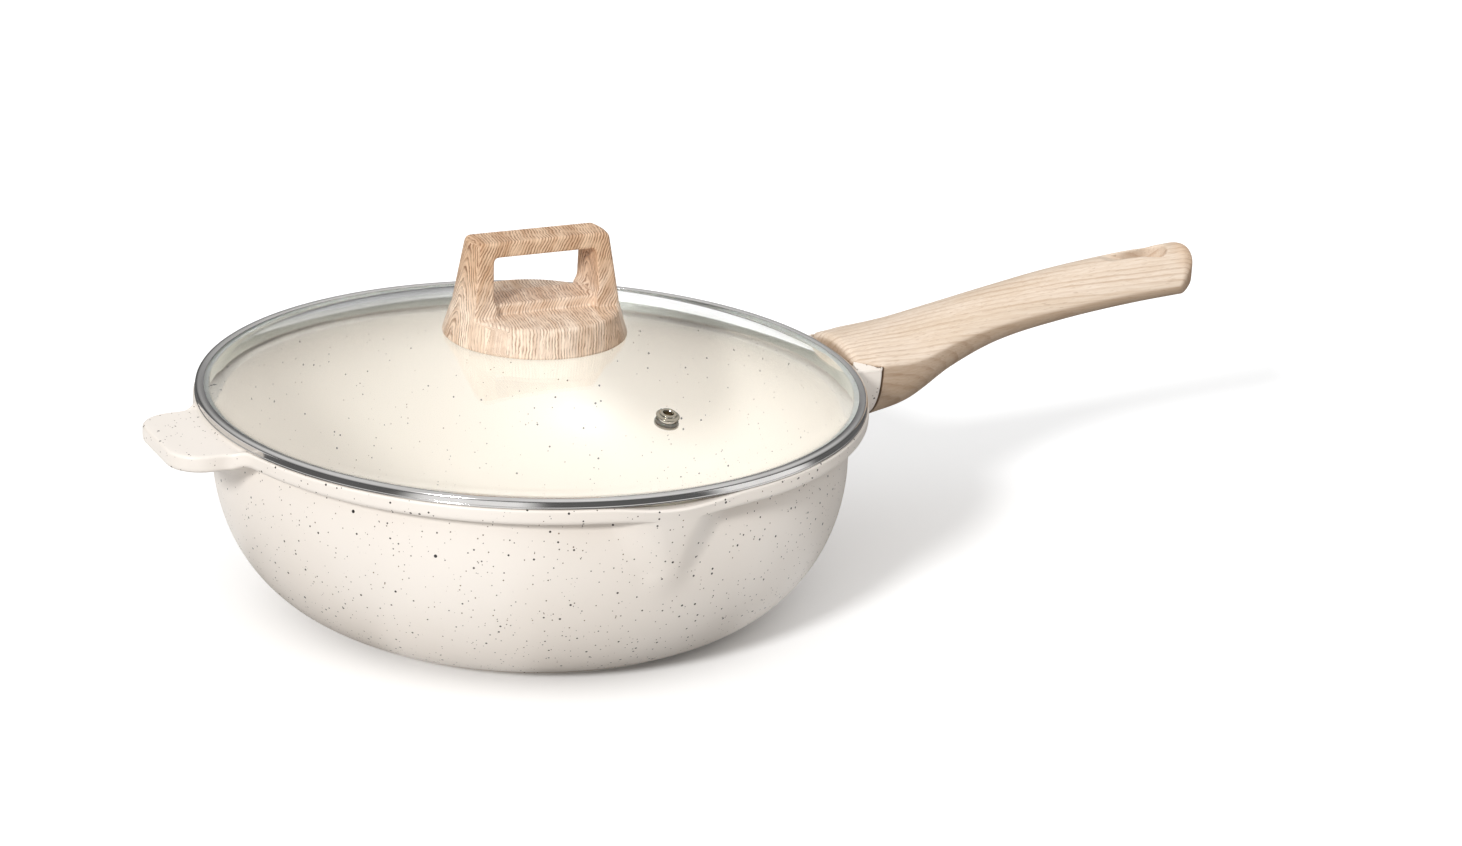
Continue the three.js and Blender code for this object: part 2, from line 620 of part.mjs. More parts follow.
function ventStack() {
  const group = new THREE.Group();
  const { place, turn } = ventPlacement();
  group.position.copy(place);
  group.quaternion.copy(turn);
  const eyelet = turned([
    [2, -5.2], [2.7, -5.2], [2.7, GAP], [4.9, GAP], [4.9, 0.8], [4.4, 1.1], [3.8, 1.2], [3.5, 1.7],
    [2.9, 2], [2.3, 1.9], [2, 1.5],
  ]);
  group.add(piece("vent_eyelet", eyelet, STEEL));
  group.add(piece("vent_sleeve", ring(3, 3.6, -GLASS_T, -0.1), SILICONE));
  group.add(piece("vent_gasket", ring(3, 4.8, -GLASS_T - 1, -GLASS_T - GAP), SILICONE));
  group.add(piece("vent_collar", ring(3, 5.2, -GLASS_T - 2.2, -GLASS_T - 1.3), STEEL));
  return group;
}

function lidGroup() {
  const group = new THREE.Group();
  group.add(piece("lid_glass", lidGlass(), GLASS));
  group.add(piece("lid_band", lidBand(), STEEL));
  group.add(knobStack(), ventStack());
  return group;
}

const pan = new THREE.Group();
pan.add(panGroup(), lidGroup());

export default pan;
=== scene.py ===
"""Looks of a coated deep pan with a glass lid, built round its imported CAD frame. Metres, +Z up.

+X runs along the main handle, -X to the helper handle, -Y and +Y to the pouring spouts. Shapes are worked out
in millimetres and turned into metres when a mesh is made.
"""

import bpy
import numpy as np
from mathutils import Matrix, Vector


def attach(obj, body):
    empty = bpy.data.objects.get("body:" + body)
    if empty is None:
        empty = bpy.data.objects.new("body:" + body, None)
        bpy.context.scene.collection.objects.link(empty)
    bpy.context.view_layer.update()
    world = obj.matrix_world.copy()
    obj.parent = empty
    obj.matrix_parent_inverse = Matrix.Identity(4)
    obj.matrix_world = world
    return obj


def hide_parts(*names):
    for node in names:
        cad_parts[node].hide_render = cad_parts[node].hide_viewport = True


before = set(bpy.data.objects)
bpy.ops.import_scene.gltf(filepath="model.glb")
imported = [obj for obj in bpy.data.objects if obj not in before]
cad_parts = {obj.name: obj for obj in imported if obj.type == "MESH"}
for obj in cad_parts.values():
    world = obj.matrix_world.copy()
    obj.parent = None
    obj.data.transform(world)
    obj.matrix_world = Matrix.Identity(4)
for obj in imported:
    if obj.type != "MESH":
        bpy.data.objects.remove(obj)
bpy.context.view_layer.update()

MM = 0.001

# ---- driving dimensions, in millimetres ----
# pan
FOOT_R = 91.6
FOOT_H = 1.6
FLOOR_Z = 6.0
FLOOR_R = 88.0
GROOVE_Z = 84.2
GROOVE_R = 135.5
RIM_R = 144.8
RIM_Z = 93.0
RIM_EDGE = 1.1
BEAD_R = 2.2
BEAD_LIFT = 2.2
MOUTH_R = 138.6
LEDGE_Z = 86.9
LEDGE_R = 133.0
COOKING_TOP_Z = 86.5  # the coating has its inside colour below this height
WALL = 3.2
TONGUE_END = 194.0
TONGUE_HALF = 8.0
TONGUE_Z = (79.0, 88.5)
PLATE_R = 76.0
PLATE_H = 1.2
PLATE_HOLE_R = 3.2
PLATE_RINGS = ((34, 6), (56, 12))  # radius of a ring of holes, and how many
GAP = 0.3

# pouring spouts
SPOUT_HALF_ANGLE = np.radians(14)
SPOUT_OUT = 1.2
SPOUT_DIP = 2.2
SPOUT_BASE_Z = 45.0
SPOUT_BASE_R = 133.6
# at the rim, the bead is lost in the swollen wall up to the first angle and whole from the second
SPOUT_FLUSH = np.radians([5.0, 13.5])

# helper handle
WING_ZONE = np.radians(19)
WING_END = 169.3
WING_HALF = 28.6
WING_FLARE = 10.5
WING_CORNER = 15.0
WING_TOP_Z = 91.6
WING_BOTTOM_Z = 84.4
WING_TOP_EDGE = 1.3
WING_BOTTOM_EDGE = 1.8

# bracket of the main handle
BRACKET_ZONE = np.radians(17)
BRACKET_END = 158.0
BRACKET_HALF = 25.7
BRACKET_FLARE = 9.0
BRACKET_CORNER = 0.9
BRACKET_EDGE = 0.8
BRACKET_LOW_Z = 65.2

# main handle: along x, the half width, then the heights of its crown, side crease and belly
STATIONS = np.array([
    [158.3, 26.0, 102.4, 94.0, 64.5],
    [178.0, 24.4, 105.4, 94.4, 69.4],
    [200.0, 21.0, 109.6, 100.2, 82.2],
    [225.0, 18.2, 114.9, 104.8, 92.2],
    [258.0, 17.2, 120.8, 108.6, 98.6],
    [296.0, 17.2, 125.0, 111.8, 103.0],
    [333.5, 17.6, 127.6, 113.4, 105.6],
])
HANDLE_ROUND_START = 318.0
CROWN_POWER = 2.2
BELLY_POWER = 2.4
NOSE = (146.2, 20.0, 100.4, 96.4)  # x of its front, then half width, crown and crease there
HANG_SLOT = (298.0, 320.0, 4.6, 7.0)  # from, to, half width at its start and at its end
HANG_RAMP = (286.0, 308.0, 4.0, 4.4)  # the same for the hollow that runs into the slot
HANG_RAMP_SLOPE = 0.36
HANG_UNSHADED = (12.5, 7.8)  # half length and half width round the slot that get no painted shade
HANDLE_SCREW_X = 178.0
HANDLE_SEAT_Z = 75.5
HEAD_POCKET_R = 6.0

# lid
GLASS_APEX_Z = 121.2
GLASS_SPHERE_R = 398.5
GLASS_T = 2.7
GLASS_R = 142.8
GLASS_LAND_TOP = 96.6
LAND_T = 2.3  # the glass is thinner where it lies on the seal
GLASS_LAND_R = 138.3
GLASS_BORE_R = 5.0
BAND_R = 144.0
BAND_T = 0.5
BAND_TOP_Z = 97.3
BAND_LIP_R = 140.3
SKIRT_R = 137.5
SKIRT_BOTTOM_Z = 88.6
SATIN_R = 138.6  # the steel is matt from here to SATIN_WIDE further in, where the skirt is
SATIN_WIDE = 3.0
VENT_R = 95.0
VENT_AZIMUTH = np.radians(-78.7)
VENT_HOLE_R = 3.9
VENT_ZONE = 8.0  # painted shade on the silicone and a painted dark reflection on the steel reach this far either side of the vent's radius

# knob
KNOB_BASE_Z = 119.6
KNOB_BASE_R = 39.4
KNOB_SHOULDER_Z = 131.8
KNOB_SHOULDER_R = 36.0
KNOB_TOP_Z = 163.2
KNOB_TOP_R = 30.8
KNOB_SHOULDER_HALF = 13.1
KNOB_TOP_HALF = 8.4
KNOB_SHELL = 3.0
SADDLE_HALF = 9.5
WINDOW_Z = (136.3, 156.8)
WINDOW_HALF = (24.4, 23.4)
BOSS_R = 8.0
BOSS_LIFT = 3.6
INSERT_R = 4.0
INSERT_H = 10.0
SCREW_R = 2.5
SPRING_WASHER_H = 1.1


# ---- meshes ----
def shown(name, data):
    """A new object in the scene."""
    thing = bpy.data.objects.new(name, data)
    bpy.context.scene.collection.objects.link(thing)
    return thing


def mesh_piece(name, shape, slot, body, replaces=(), sharp=35):
    """A piece from a shape, smooth where its faces meet at less than sharp degrees.

    A shape is its points, in millimetres, and its faces.
    """
    points, faces = shape
    mesh = bpy.data.meshes.new(name)
    mesh.from_pydata((points * MM).tolist(), [], faces)
    mesh.validate()
    mesh.shade_smooth()
    mesh.set_sharp_from_angle(angle=np.radians(sharp))
    mesh.materials.append(FINISHES[slot])
    piece = shown(name, mesh)
    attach(piece, body)
    if replaces:
        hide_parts(*replaces)
    return piece


def grid_faces(rows, columns):
    """Quads over rows of points that each close on themselves."""
    row, column = np.meshgrid(np.arange(rows - 1), np.arange(columns), indexing="ij")
    a = row * columns + column
    b = row * columns + (column + 1) % columns
    return np.stack([a, b, b + columns, a + columns], -1).reshape(-1, 4).tolist()


def capped_grid(grid):
    """The shape of a grid [row, column, xyz] with a middle point that closes each end."""
    rows, columns = grid.shape[:2]
    points = np.vstack([grid.reshape(-1, 3), grid[0].mean(0), grid[-1].mean(0)])
    faces = grid_faces(rows, columns)
    first, last = rows * columns, rows * columns + 1
    end = (rows - 1) * columns
    for j in range(columns):
        k = (j + 1) % columns
        faces.append([first, k, j])
        faces.append([last, end + j, end + k])
    return points, faces


def rounded(corners, steps=6):
    """An outline of [radius, height] points from corners [radius, height, fillet]."""
    line = [np.array(c[:2], float) for c in corners]
    fillets = [c[2] if len(c) > 2 else 0 for c in corners]
    out = []
    for i, (here, fillet) in enumerate(zip(line, fillets)):
        if not fillet:
            out.append(here)
            continue
        before, after = line[i - 1] - here, line[(i + 1) % len(line)] - here
        before, after = before / np.linalg.norm(before), after / np.linalg.norm(after)
        half = np.arccos(np.clip(before @ after, -1, 1)) / 2
        reach = fillet / np.tan(half)
        middle = here + (before + after) / np.linalg.norm(before + after) * fillet / np.sin(half)
        start, end = here + before * reach - middle, here + after * reach - middle
        turn = np.arctan2(start[0] * end[1] - start[1] * end[0], start @ end)
        for t in np.linspace(0, turn, steps + 1):
            c, s = np.cos(t), np.sin(t)
            out.append(middle + [c * start[0] - s * start[1], s * start[0] + c * start[1]])
    return np.array(out)


def turned(outline, segments):
    """The shape of an outline [radius, height] turned about Z.

    The outline closes on itself, or starts and ends on the axis.
    """
    outline = np.asarray(outline, float)
    angle = np.linspace(0, 2 * np.pi, segments, endpoint=False)
    on_axis = outline[0, 0] < 1e-6 and outline[-1, 0] < 1e-6
    body = outline[1:-1] if on_axis else np.vstack([outline, outline[:1]])
    grid = swept(body, angle)
    if not on_axis:
        points = grid[:-1].reshape(-1, 3)
        faces = (np.array(grid_faces(len(body), segments)) % len(points)).tolist()
        return points, faces
    points, faces = capped_grid(grid)
    points[-2], points[-1] = (0, 0, outline[0, 1]), (0, 0, outline[-1, 1])
    return points, faces


def smooth_step(t):
    """From nought to one with a level start and end."""
    t = np.clip(t, 0, 1)
    return t * t * (3 - 2 * t)


def lerp(a, b, t):
    return a + (b - a) * t


def bezier(points, steps):
    """Points of a cubic curve through four control points."""
    p = np.array(points, float)
    t = np.linspace(0, 1, steps + 1)[:, None]
    return p[0] * (1 - t) ** 3 + 3 * p[1] * t * (1 - t) ** 2 + 3 * p[2] * t**2 * (1 - t) + p[3] * t**3


def circle(x, y, radius, angles):
    return np.stack([x + radius * np.cos(angles), y + radius * np.sin(angles)], -1)


def arc(x, y, radius, start, end, steps):
    """Points of a round stretch between two angles in degrees."""
    return circle(x, y, radius, np.radians(np.linspace(start, end, steps + 1)))


def swept(outline, angles):
    """Grid [point, azimuth, xyz] of an outline [radius, height] at each azimuth."""
    r, z = outline[:, :1], outline[:, 1:]
    return np.stack([r * np.cos(angles), r * np.sin(angles), z + 0 * angles], -1)


# ---- rounded solids from distance fields ----
def both(k, *fields):
    """Intersection of fields, its edges rounded over about k."""
    out = fields[0]
    for f in fields[1:]:
        h = np.clip(0.5 - 0.5 * (f - out) / k, 0, 1)
        out = lerp(f, out, h) + k * h * (1 - h)
    return out


def either(k, *fields):
    """Union of fields, with hollow corners filled over about k."""
    return -both(k, *[-f for f in fields])


def without(k, field, *cuts):
    """What is left of field when the cuts are taken away."""
    return both(k, field, *[-c for c in cuts])


def skin(field, low, high, cell):
    """The shape of the surface where field(x, y, z) is zero.

    Each cell that the surface crosses gets one point. Newton steps pull it onto the surface, but not far out
    of its cell.
    """
    probe = cell * 0.05
    leash = cell * 0.9
    axes = [np.arange(lo, hi + cell, cell) for lo, hi in zip(low, high)]
    inside = field(*np.meshgrid(*axes, indexing="ij", sparse=True)) < 0
    ends = (slice(0, -1), slice(1, None))
    corners = [inside[i, j, k] for i in ends for j in ends for k in ends]
    count = sum(c.astype(np.int8) for c in corners)
    crossed = (count > 0) & (count < 8)
    number = np.full(crossed.shape, -1)
    number[crossed] = np.arange(crossed.sum())
    points = np.stack([axes[i][idx] + cell / 2 for i, idx in enumerate(np.nonzero(crossed))], -1)
    start = points.copy()
    for _ in range(6):
        value = field(*points.T)
        slope = np.stack([(field(*(points + h).T) - field(*(points - h).T)) / (2 * probe)
                          for h in np.eye(3) * probe], -1)
        points -= (value / np.maximum((slope**2).sum(-1), 1e-6))[:, None] * slope
        points = np.clip(points, start - leash, start + leash)
    faces = []
    for axis in range(3):
        a, b = (axis + 1) % 3, (axis + 2) % 3
        near = np.take(inside, range(inside.shape[axis] - 1), axis)
        far = np.take(inside, range(1, inside.shape[axis]), axis)
        for solid, order in ((near & ~far, 1), (~near & far, -1)):
            cells = np.array(np.nonzero(solid))
            ring = []
            for da, db in ((0, 0), (-1, 0), (-1, -1), (0, -1)):
                at = cells.copy()
                at[a] += da
                at[b] += db
                ring.append(number[tuple(at)])
            faces.append(np.stack(ring[::-order], -1))
    return points, np.vstack(faces).tolist()


# ---- materials ----
INSIDE_LIFT = 0.40  # light that stands in for the many bounces between the glass and the bowl


class Shader:
    """A material whose nodes are added one call at a time."""

    def __init__(self, name):
        self.material = bpy.data.materials.new(name)
        self.material.use_nodes = True
        self.tree = self.material.node_tree
        self.surface = self.tree.nodes["Principled BSDF"]
        self.place = self.node("TexCoord").outputs["Object"]

    def node(self, kind, **inputs):
        node = self.tree.nodes.new("ShaderNode" + kind)
        for key, value in inputs.items():
            if hasattr(node, key):
                setattr(node, key, value)
            else:
                self.feed(node.inputs[key.replace("_", " ")], value)
        return node

    def feed(self, socket, value):
        if isinstance(value, bpy.types.NodeSocket):
            self.tree.links.new(value, socket)
        else:
            socket.default_value = value

    def math(self, operation, *values):
        node = self.node("Math", operation=operation)
        for socket, value in zip(node.inputs, values):
            self.feed(socket, value)
        return node.outputs[0]

    def product(self, first, *others):
        for other in others:
            first = self.math("MULTIPLY", first, other)
        return first

    def total(self, first, *others):
        for other in others:
            first = self.math("ADD", first, other)
        return first

    def ramp(self, value, low, high, out_low=0.0, out_high=1.0):
        """A smooth rise from out_low where value is low to out_high where it is high."""
        node = self.node("MapRange", interpolation_type="SMOOTHSTEP")
        for socket, v in zip(node.inputs, (value, low, high, out_low, out_high)):
            self.feed(socket, v)
        return node.outputs[0]

    def noise(self, vector, scale, detail=2.0, roughness=0.5):
        node = self.node("TexNoise", Vector=vector, Scale=scale, Detail=detail, Roughness=roughness)
        return node.outputs["Fac"]

    def stretched_noise(self, scale, detail=2.0, roughness=0.5):
        """Noise with its own scale along x, y and z."""
        at = self.node("Mapping", Vector=self.place, Scale=scale).outputs[0]
        return self.noise(at, 1.0, detail, roughness)

    def position(self):
        return self.node("SeparateXYZ", Vector=self.place).outputs

    def facing(self):
        """x, y and z of the way that the surface faces."""
        return self.node("SeparateXYZ", Vector=self.node("NewGeometry").outputs["Normal"]).outputs

    def radius(self):
        """Distance from the pan's axis."""
        x, y, _ = self.position()
        return self.math("SQRT", self.total(self.math("POWER", x, 2.0), self.math("POWER", y, 2.0)))

    def near_vent(self):
        return self.math("COMPARE", self.radius(), VENT_R * MM, VENT_ZONE * MM)

    def mix(self, factor, a, b, blend="MIX"):
        """A colour from a to b. A Mix node has its colours at inputs 6 and 7 and at output 2."""
        node = self.node("Mix", data_type="RGBA", blend_type=blend)
        self.feed(node.inputs["Factor"], factor)
        self.feed(node.inputs[6], a)
        self.feed(node.inputs[7], b)
        return node.outputs[2]

    def tinted(self, factor, colour, tint):
        """The colour, multiplied by the tint as far as the factor says."""
        return self.mix(factor, colour, self.mix(1.0, colour, tint, "MULTIPLY"))

    def bump(self, height, strength, distance=0.0002):
        return self.node("Bump", Height=height, Strength=strength, Distance=distance).outputs[0]

    def set(self, **inputs):
        """Feeds the surface's inputs, and gives the material."""
        for key, value in inputs.items():
            self.feed(self.surface.inputs[key.replace("_", " ")], value)
        return self.material


def rgb(r, g, b):
    """Linear colour from one as it looks on a screen, 0 to 255."""
    c = np.array([r, g, b]) / 255
    linear = np.where(c <= 0.04045, c / 12.92, ((c + 0.055) / 1.055) ** 2.4)
    return (*linear.tolist(), 1.0)


def speck_mask(s, cell, share, size, inside):
    """Round specks in a share of the cells, each with a radius of its own up to size, both in metres.

    Fewer of them show on the cooking side.
    """
    soft_edge = 0.00012
    hidden_inside = 0.62
    voronoi = s.node("TexVoronoi", Vector=s.place, Scale=1 / cell, feature="F1")
    luck = s.node("SeparateColor", Color=voronoi.outputs["Color"])
    radius = s.ramp(luck.outputs[0], 1 - share, 1.0, 0.0, size / cell)
    edge = s.math("SUBTRACT", radius, voronoi.outputs["Distance"])
    kept = s.math("GREATER_THAN", luck.outputs[1], s.product(inside, hidden_inside))
    return s.product(s.ramp(edge, 0.0, soft_edge / cell), kept)


def cooking_side(s):
    """One on the inside of the bowl, nought outside."""
    x, y, z = s.position()
    face_x, face_y, face_z = s.facing()
    inward = s.math("LESS_THAN", s.total(s.product(x, face_x), s.product(y, face_y)), 0.0)
    low = s.math("LESS_THAN", z, COOKING_TOP_Z * MM)
    middle = s.math("LESS_THAN", s.radius(), FLOOR_R * MM)
    upward = s.product(s.math("GREATER_THAN", face_z, 0.0), middle)
    return s.product(s.math("MAXIMUM", inward, upward), low)


def coating_material():
    """Satin ivory coating with sparse dark specks and a faint orange-peel skin.

    It glows faintly inside the bowl, and isn't sampled as a lamp.
    """
    s = Shader("ivory_coating")
    inside = cooking_side(s)
    cloud = s.noise(s.place, 14.0, 3.0)
    outer = s.mix(s.ramp(cloud, 0.35, 0.65), rgb(238, 229, 219), rgb(241, 233, 224))
    # Outside faces that look straight up are painted lighter: painted light on the tops of the rim and lugs.
    outer = s.mix(s.ramp(s.facing()[2], 0.9, 1.0), outer, rgb(248, 240, 231))
    base = s.mix(inside, outer, rgb(205, 198, 189))
    fine = speck_mask(s, 0.0018, 0.80, 0.00038, inside)
    middle = speck_mask(s, 0.0030, 0.60, 0.00058, inside)
    large = speck_mask(s, 0.0080, 0.50, 0.00078, inside)
    tone = s.ramp(s.noise(s.place, 240.0, 1.0), 0.35, 0.65)
    fine_colour = s.mix(tone, rgb(112, 84, 58), rgb(58, 46, 38))
    colour = s.mix(s.product(fine, 0.95), base, fine_colour)
    colour = s.mix(middle, colour, rgb(46, 37, 31))
    colour = s.mix(large, colour, rgb(26, 22, 20))
    peel = s.noise(s.place, 900.0)
    grit = s.total(peel, s.product(s.total(middle, large), -0.6))
    rough = s.ramp(s.noise(s.place, 60.0), 0.3, 0.7, 0.40, 0.48)
    s.set(Base_Color=colour, Roughness=rough, Normal=s.bump(grit, 0.25, 0.0001))
    s.set(Coat_Weight=0.2, Coat_Roughness=0.3)
    s.set(Emission_Color=colour, Emission_Strength=s.product(inside, INSIDE_LIFT))
    s.material.cycles.emission_sampling = "NONE"
    return s.material


def growth_lines(s, across, count, start, dark, end):
    """Lines that repeat count times a metre.

    The other numbers are parts of a line's width: it darkens from start to dark, and fades from end on.
    """
    rings = s.math("FRACT", s.product(across, count))
    return s.product(s.ramp(rings, start, dark), s.ramp(rings, 1.0, end))


def handle_wood():
    """Pale straight-grained print that runs along the handle, with long soft growth lines."""
    s = Shader("pale_wood_print")
    bend = s.stretched_noise((4.0, 26.0, 26.0))
    x, y, z = s.position()
    drift = s.product(x, 0.045)
    across = s.total(y, s.product(z, 0.80))
    across = s.total(across, s.total(drift, s.product(bend, 0.020)))
    jag = s.stretched_noise((120.0, 700.0, 700.0))
    across = s.total(across, s.product(jag, 0.0012))
    line = growth_lines(s, across, 290.0, 0.45, 0.93, 0.95)
    strength = s.ramp(s.stretched_noise((9.0, 160.0, 160.0)), 0.3, 0.7, 0.15, 0.8)
    wide = s.ramp(s.stretched_noise((5.0, 110.0, 110.0)), 0.3, 0.72)
    fibre = s.ramp(s.stretched_noise((50.0, 1500.0, 1500.0), 3.0, 0.6), 0.35, 0.7)
    pore = s.ramp(s.stretched_noise((160.0, 2400.0, 2400.0), 1.0), 0.62, 0.72)
    colour = s.mix(wide, rgb(235, 218, 200), rgb(224, 205, 184))
    colour = s.mix(s.product(line, strength, 0.65), colour, rgb(176, 140, 106))
    colour = s.mix(s.product(fibre, 0.30), colour, rgb(200, 168, 134))
    colour = s.mix(s.product(pore, 0.35), colour, rgb(160, 124, 92))
    # The sides and the belly are painted darker: painted shade, none on top or in the hang slot.
    colour = s.tinted(handle_painted_shade(s, x, y), colour, rgb(192, 176, 158))
    end = s.ramp(x, HANDLE_ROUND_START * MM, (STATIONS[-1, 0] - 1.5) * MM, 0.0, 0.9)
    colour = s.tinted(end, colour, rgb(244, 228, 212))
    height = s.math("SUBTRACT", s.product(line, -0.6), pore)
    rough = s.ramp(fibre, 0.0, 1.0, 0.46, 0.56)
    return s.set(Base_Color=colour, Roughness=rough, Normal=s.bump(height, 0.12, 0.0001))


def handle_painted_shade(s, x, y):
    """How much painted shade the print gets on faces that turn from up: none on top and none in the hang
    slot.
    """
    facing = s.facing()[2]
    half_long, half_wide = HANG_UNSHADED
    along = s.math("COMPARE", x, (HANG_SLOT[0] + HANG_SLOT[1]) / 2 * MM, half_long * MM)
    slot = s.product(along, s.math("COMPARE", y, 0.0, half_wide * MM), s.math("GREATER_THAN", facing, -0.2))
    return s.product(s.ramp(facing, 0.45, -0.1, 0.0, 0.72), s.math("SUBTRACT", 1.0, slot))


def knob_wood():
    """Warm print with fine dark lines that lean across the faces and turn over the edges."""
    s = Shader("warm_wood_print")
    x, y, z = s.position()
    shoulder = KNOB_SHOULDER_Z * MM
    warp = s.total(s.product(s.noise(s.place, 30.0), 0.006), s.product(s.noise(s.place, 110.0), 0.0018))
    jag = s.product(s.noise(s.place, 420.0), 0.0011)
    lift = s.math("SUBTRACT", z, shoulder)
    lean = s.ramp(z, shoulder - 0.003, shoulder + 0.006, -0.10, -0.50)
    front = s.total(s.product(x, 0.97), s.product(lift, lean), s.product(y, -0.14))
    arch = s.math("SQRT", s.total(s.math("POWER", y, 2.0), 0.00002))
    arch = s.total(arch, s.product(lift, 0.32))
    turn = s.ramp(s.math("ABSOLUTE", s.facing()[0]), 0.62, 0.80)
    across = s.total(front, s.product(turn, s.math("SUBTRACT", arch, front)), s.total(warp, jag))
    along = s.node("CombineXYZ", X=across, Y=s.product(z, 0.06), Z=s.product(y, 0.06)).outputs[0]
    line = growth_lines(s, across, 760.0, 0.30, 0.85, 0.88)
    strength = s.ramp(s.noise(s.place, 190.0, 3.0), 0.34, 0.60, 0.25, 1.0)
    wide = s.ramp(s.noise(along, 120.0), 0.42, 0.66)
    fibre = s.ramp(s.noise(along, 1500.0), 0.45, 0.66)
    height = s.ramp(z, shoulder, (KNOB_TOP_Z - 8) * MM)
    pale = s.mix(height, rgb(252, 231, 209), rgb(235, 201, 168))
    colour = s.tinted(wide, pale, rgb(226, 212, 198))
    dark = s.product(line, strength, s.total(s.product(height, 0.2), 0.72))
    colour = s.mix(dark, colour, rgb(128, 84, 50))
    colour = s.mix(s.product(fibre, 0.34), colour, rgb(150, 104, 66))
    relief = s.math("SUBTRACT", fibre, s.product(line, 0.8))
    rough = s.ramp(fibre, 0.0, 1.0, 0.48, 0.60)
    return s.set(Base_Color=colour, Roughness=rough, Normal=s.bump(relief, 0.18, 0.0001))


def steel_material(name, tint, low, high, streaks, skirt=False):
    """Stainless steel with fine streaks along the way that it was polished. A skirt's steel is matt."""
    s = Shader(name)
    brushed = s.stretched_noise(streaks, 3.0, 0.6)
    haze = s.noise(s.place, 45.0, 3.0)
    rough = s.total(s.ramp(brushed, 0.3, 0.7, low, high), s.product(haze, 0.03))
    colour = s.mix(s.ramp(haze, 0.35, 0.65), tint, tuple(0.93 * c for c in tint[:3]) + (1.0,))
    if skirt:
        radius = s.radius()
        matt = s.product(s.math("LESS_THAN", radius, SATIN_R * MM),
                         s.math("GREATER_THAN", radius, (SATIN_R - SATIN_WIDE) * MM))
        colour = s.mix(matt, colour, rgb(240, 242, 236))
        # Steel near the vent is painted dark and olive: a painted dark reflection.
        colour = s.mix(s.product(s.near_vent(), 0.9), colour, rgb(176, 168, 150))
        rough = s.total(rough, s.product(matt, 0.40))
    return s.set(Base_Color=colour, Metallic=1.0, Roughness=rough, Normal=s.bump(brushed, 0.03, 0.00005))


def glass_material():
    """Clear tempered glass with faint smears, which lets lamps shine through to the pan."""
    s = Shader("lid_glass_clear")
    smear = s.noise(s.place, 30.0, 3.0)
    s.set(Base_Color=rgb(253, 254, 253), Roughness=s.ramp(smear, 0.35, 0.75, 0.0, 0.02))
    s.set(Transmission_Weight=1.0, IOR=1.46)
    clear = s.node("BsdfTransparent", Color=rgb(240, 241, 240)).outputs[0]
    shadow = s.node("LightPath").outputs["Is Shadow Ray"]
    either_one = s.node("MixShader")
    for socket, value in zip(either_one.inputs, (shadow, s.surface.outputs[0], clear)):
        s.feed(socket, value)
    s.feed(s.tree.nodes["Material Output"].inputs["Surface"], either_one.outputs[0])
    return s.material


def silicone_material():
    """White silicone with a little dust, in shade near the vent."""
    s = Shader("white_silicone")
    dust = s.noise(s.place, 400.0, 3.0)
    colour = s.mix(s.ramp(dust, 0.3, 0.7), rgb(232, 230, 224), rgb(222, 219, 211))
    colour = s.mix(s.near_vent(), colour, rgb(72, 68, 58))
    s.set(Base_Color=colour, Roughness=s.ramp(dust, 0.3, 0.7, 0.6, 0.75), Normal=s.bump(dust, 0.1))
    return s.set(Subsurface_Weight=0.15)


def brass_material():
    """Brass with the fine rings of a lathe."""
    s = Shader("machined_brass")
    lathe = s.stretched_noise((40.0, 40.0, 3000.0))
    colour = s.mix(s.ramp(lathe, 0.3, 0.7), rgb(214, 180, 104), rgb(190, 154, 84))
    return s.set(Base_Color=colour, Metallic=1.0, Roughness=s.ramp(lathe, 0.3, 0.7, 0.25, 0.4))


FINISHES = {
    "coating": coating_material(),
    "steel": steel_material("polished_steel", rgb(214, 212, 210), 0.07, 0.13, (30.0, 30.0, 1500.0), True),
    "plate": steel_material("brushed_plate", rgb(182, 184, 186), 0.26, 0.38, (900.0, 900.0, 900.0)),
    "handle_wood": handle_wood(),
    "knob_wood": knob_wood(),
    "glass": glass_material(),
    "silicone": silicone_material(),
    "brass": brass_material(),
}


# ---- pan ----
WALL_CURVE = [(FOOT_R + 1.7, FOOT_H + 0.2), (123.5, 11.3), (142.4, 44.7), (GROOVE_R, GROOVE_Z)]


def outer_wall(z):
    """Radius of the bowl's outside at a height."""
    curve = bezier(WALL_CURVE, 200)
    return np.interp(z, curve[:, 1], curve[:, 0])


def azimuth_columns():
    """Plain azimuths between the lugs' zones, closer together at the spouts."""
    reach = SPOUT_HALF_ANGLE + 0.03
    first, last = np.pi / 2 - reach, np.pi / 2 + reach
    before = np.linspace(BRACKET_ZONE, first, 72, endpoint=False)[1:]
    spout = np.linspace(first, last, 76, endpoint=False)
    after = np.linspace(last, np.pi - WING_ZONE, 71)[:-1]
    return np.concatenate([before, spout, after])


def lug_outline(radius, half, end, flare, corner, zone):
    """Plan outline of one side of a lug, up to the middle of its end.

    It goes round the rim, through a hollow flare, along a straight side and round a corner.
    """
    x = np.sqrt((radius + flare) ** 2 - (half + flare) ** 2)
    foot = np.arctan2(half + flare, x)
    return np.vstack([
        circle(0, 0, radius, np.linspace(zone, foot, 10, endpoint=False)),
        circle(x, half + flare, flare, np.linspace(np.pi + foot, 1.5 * np.pi, 12, endpoint=False)),
        np.linspace((x, half), (end - corner, half), 10, endpoint=False),
        circle(end - corner, half - corner, corner, np.linspace(np.pi / 2, 0, 10, endpoint=False)),
        np.linspace((end, half - corner), (end, 0), 14),
    ])


def whole_lug(*sizes):
    """Both sides of a lug's outline, anticlockwise."""
    upper = lug_outline(*sizes)
    lower = upper[:-1] * [1, -1]
    return np.vstack([lower, upper[::-1]])


def handle_half(z):
    """Half width of the main handle's first section at a height below its crease."""
    _, half, _, crease, belly = STATIONS[0]
    t = np.clip((crease - z) / (crease - belly), 0, 1)
    return half * (1 - t**BELLY_POWER) ** (1 / BELLY_POWER)


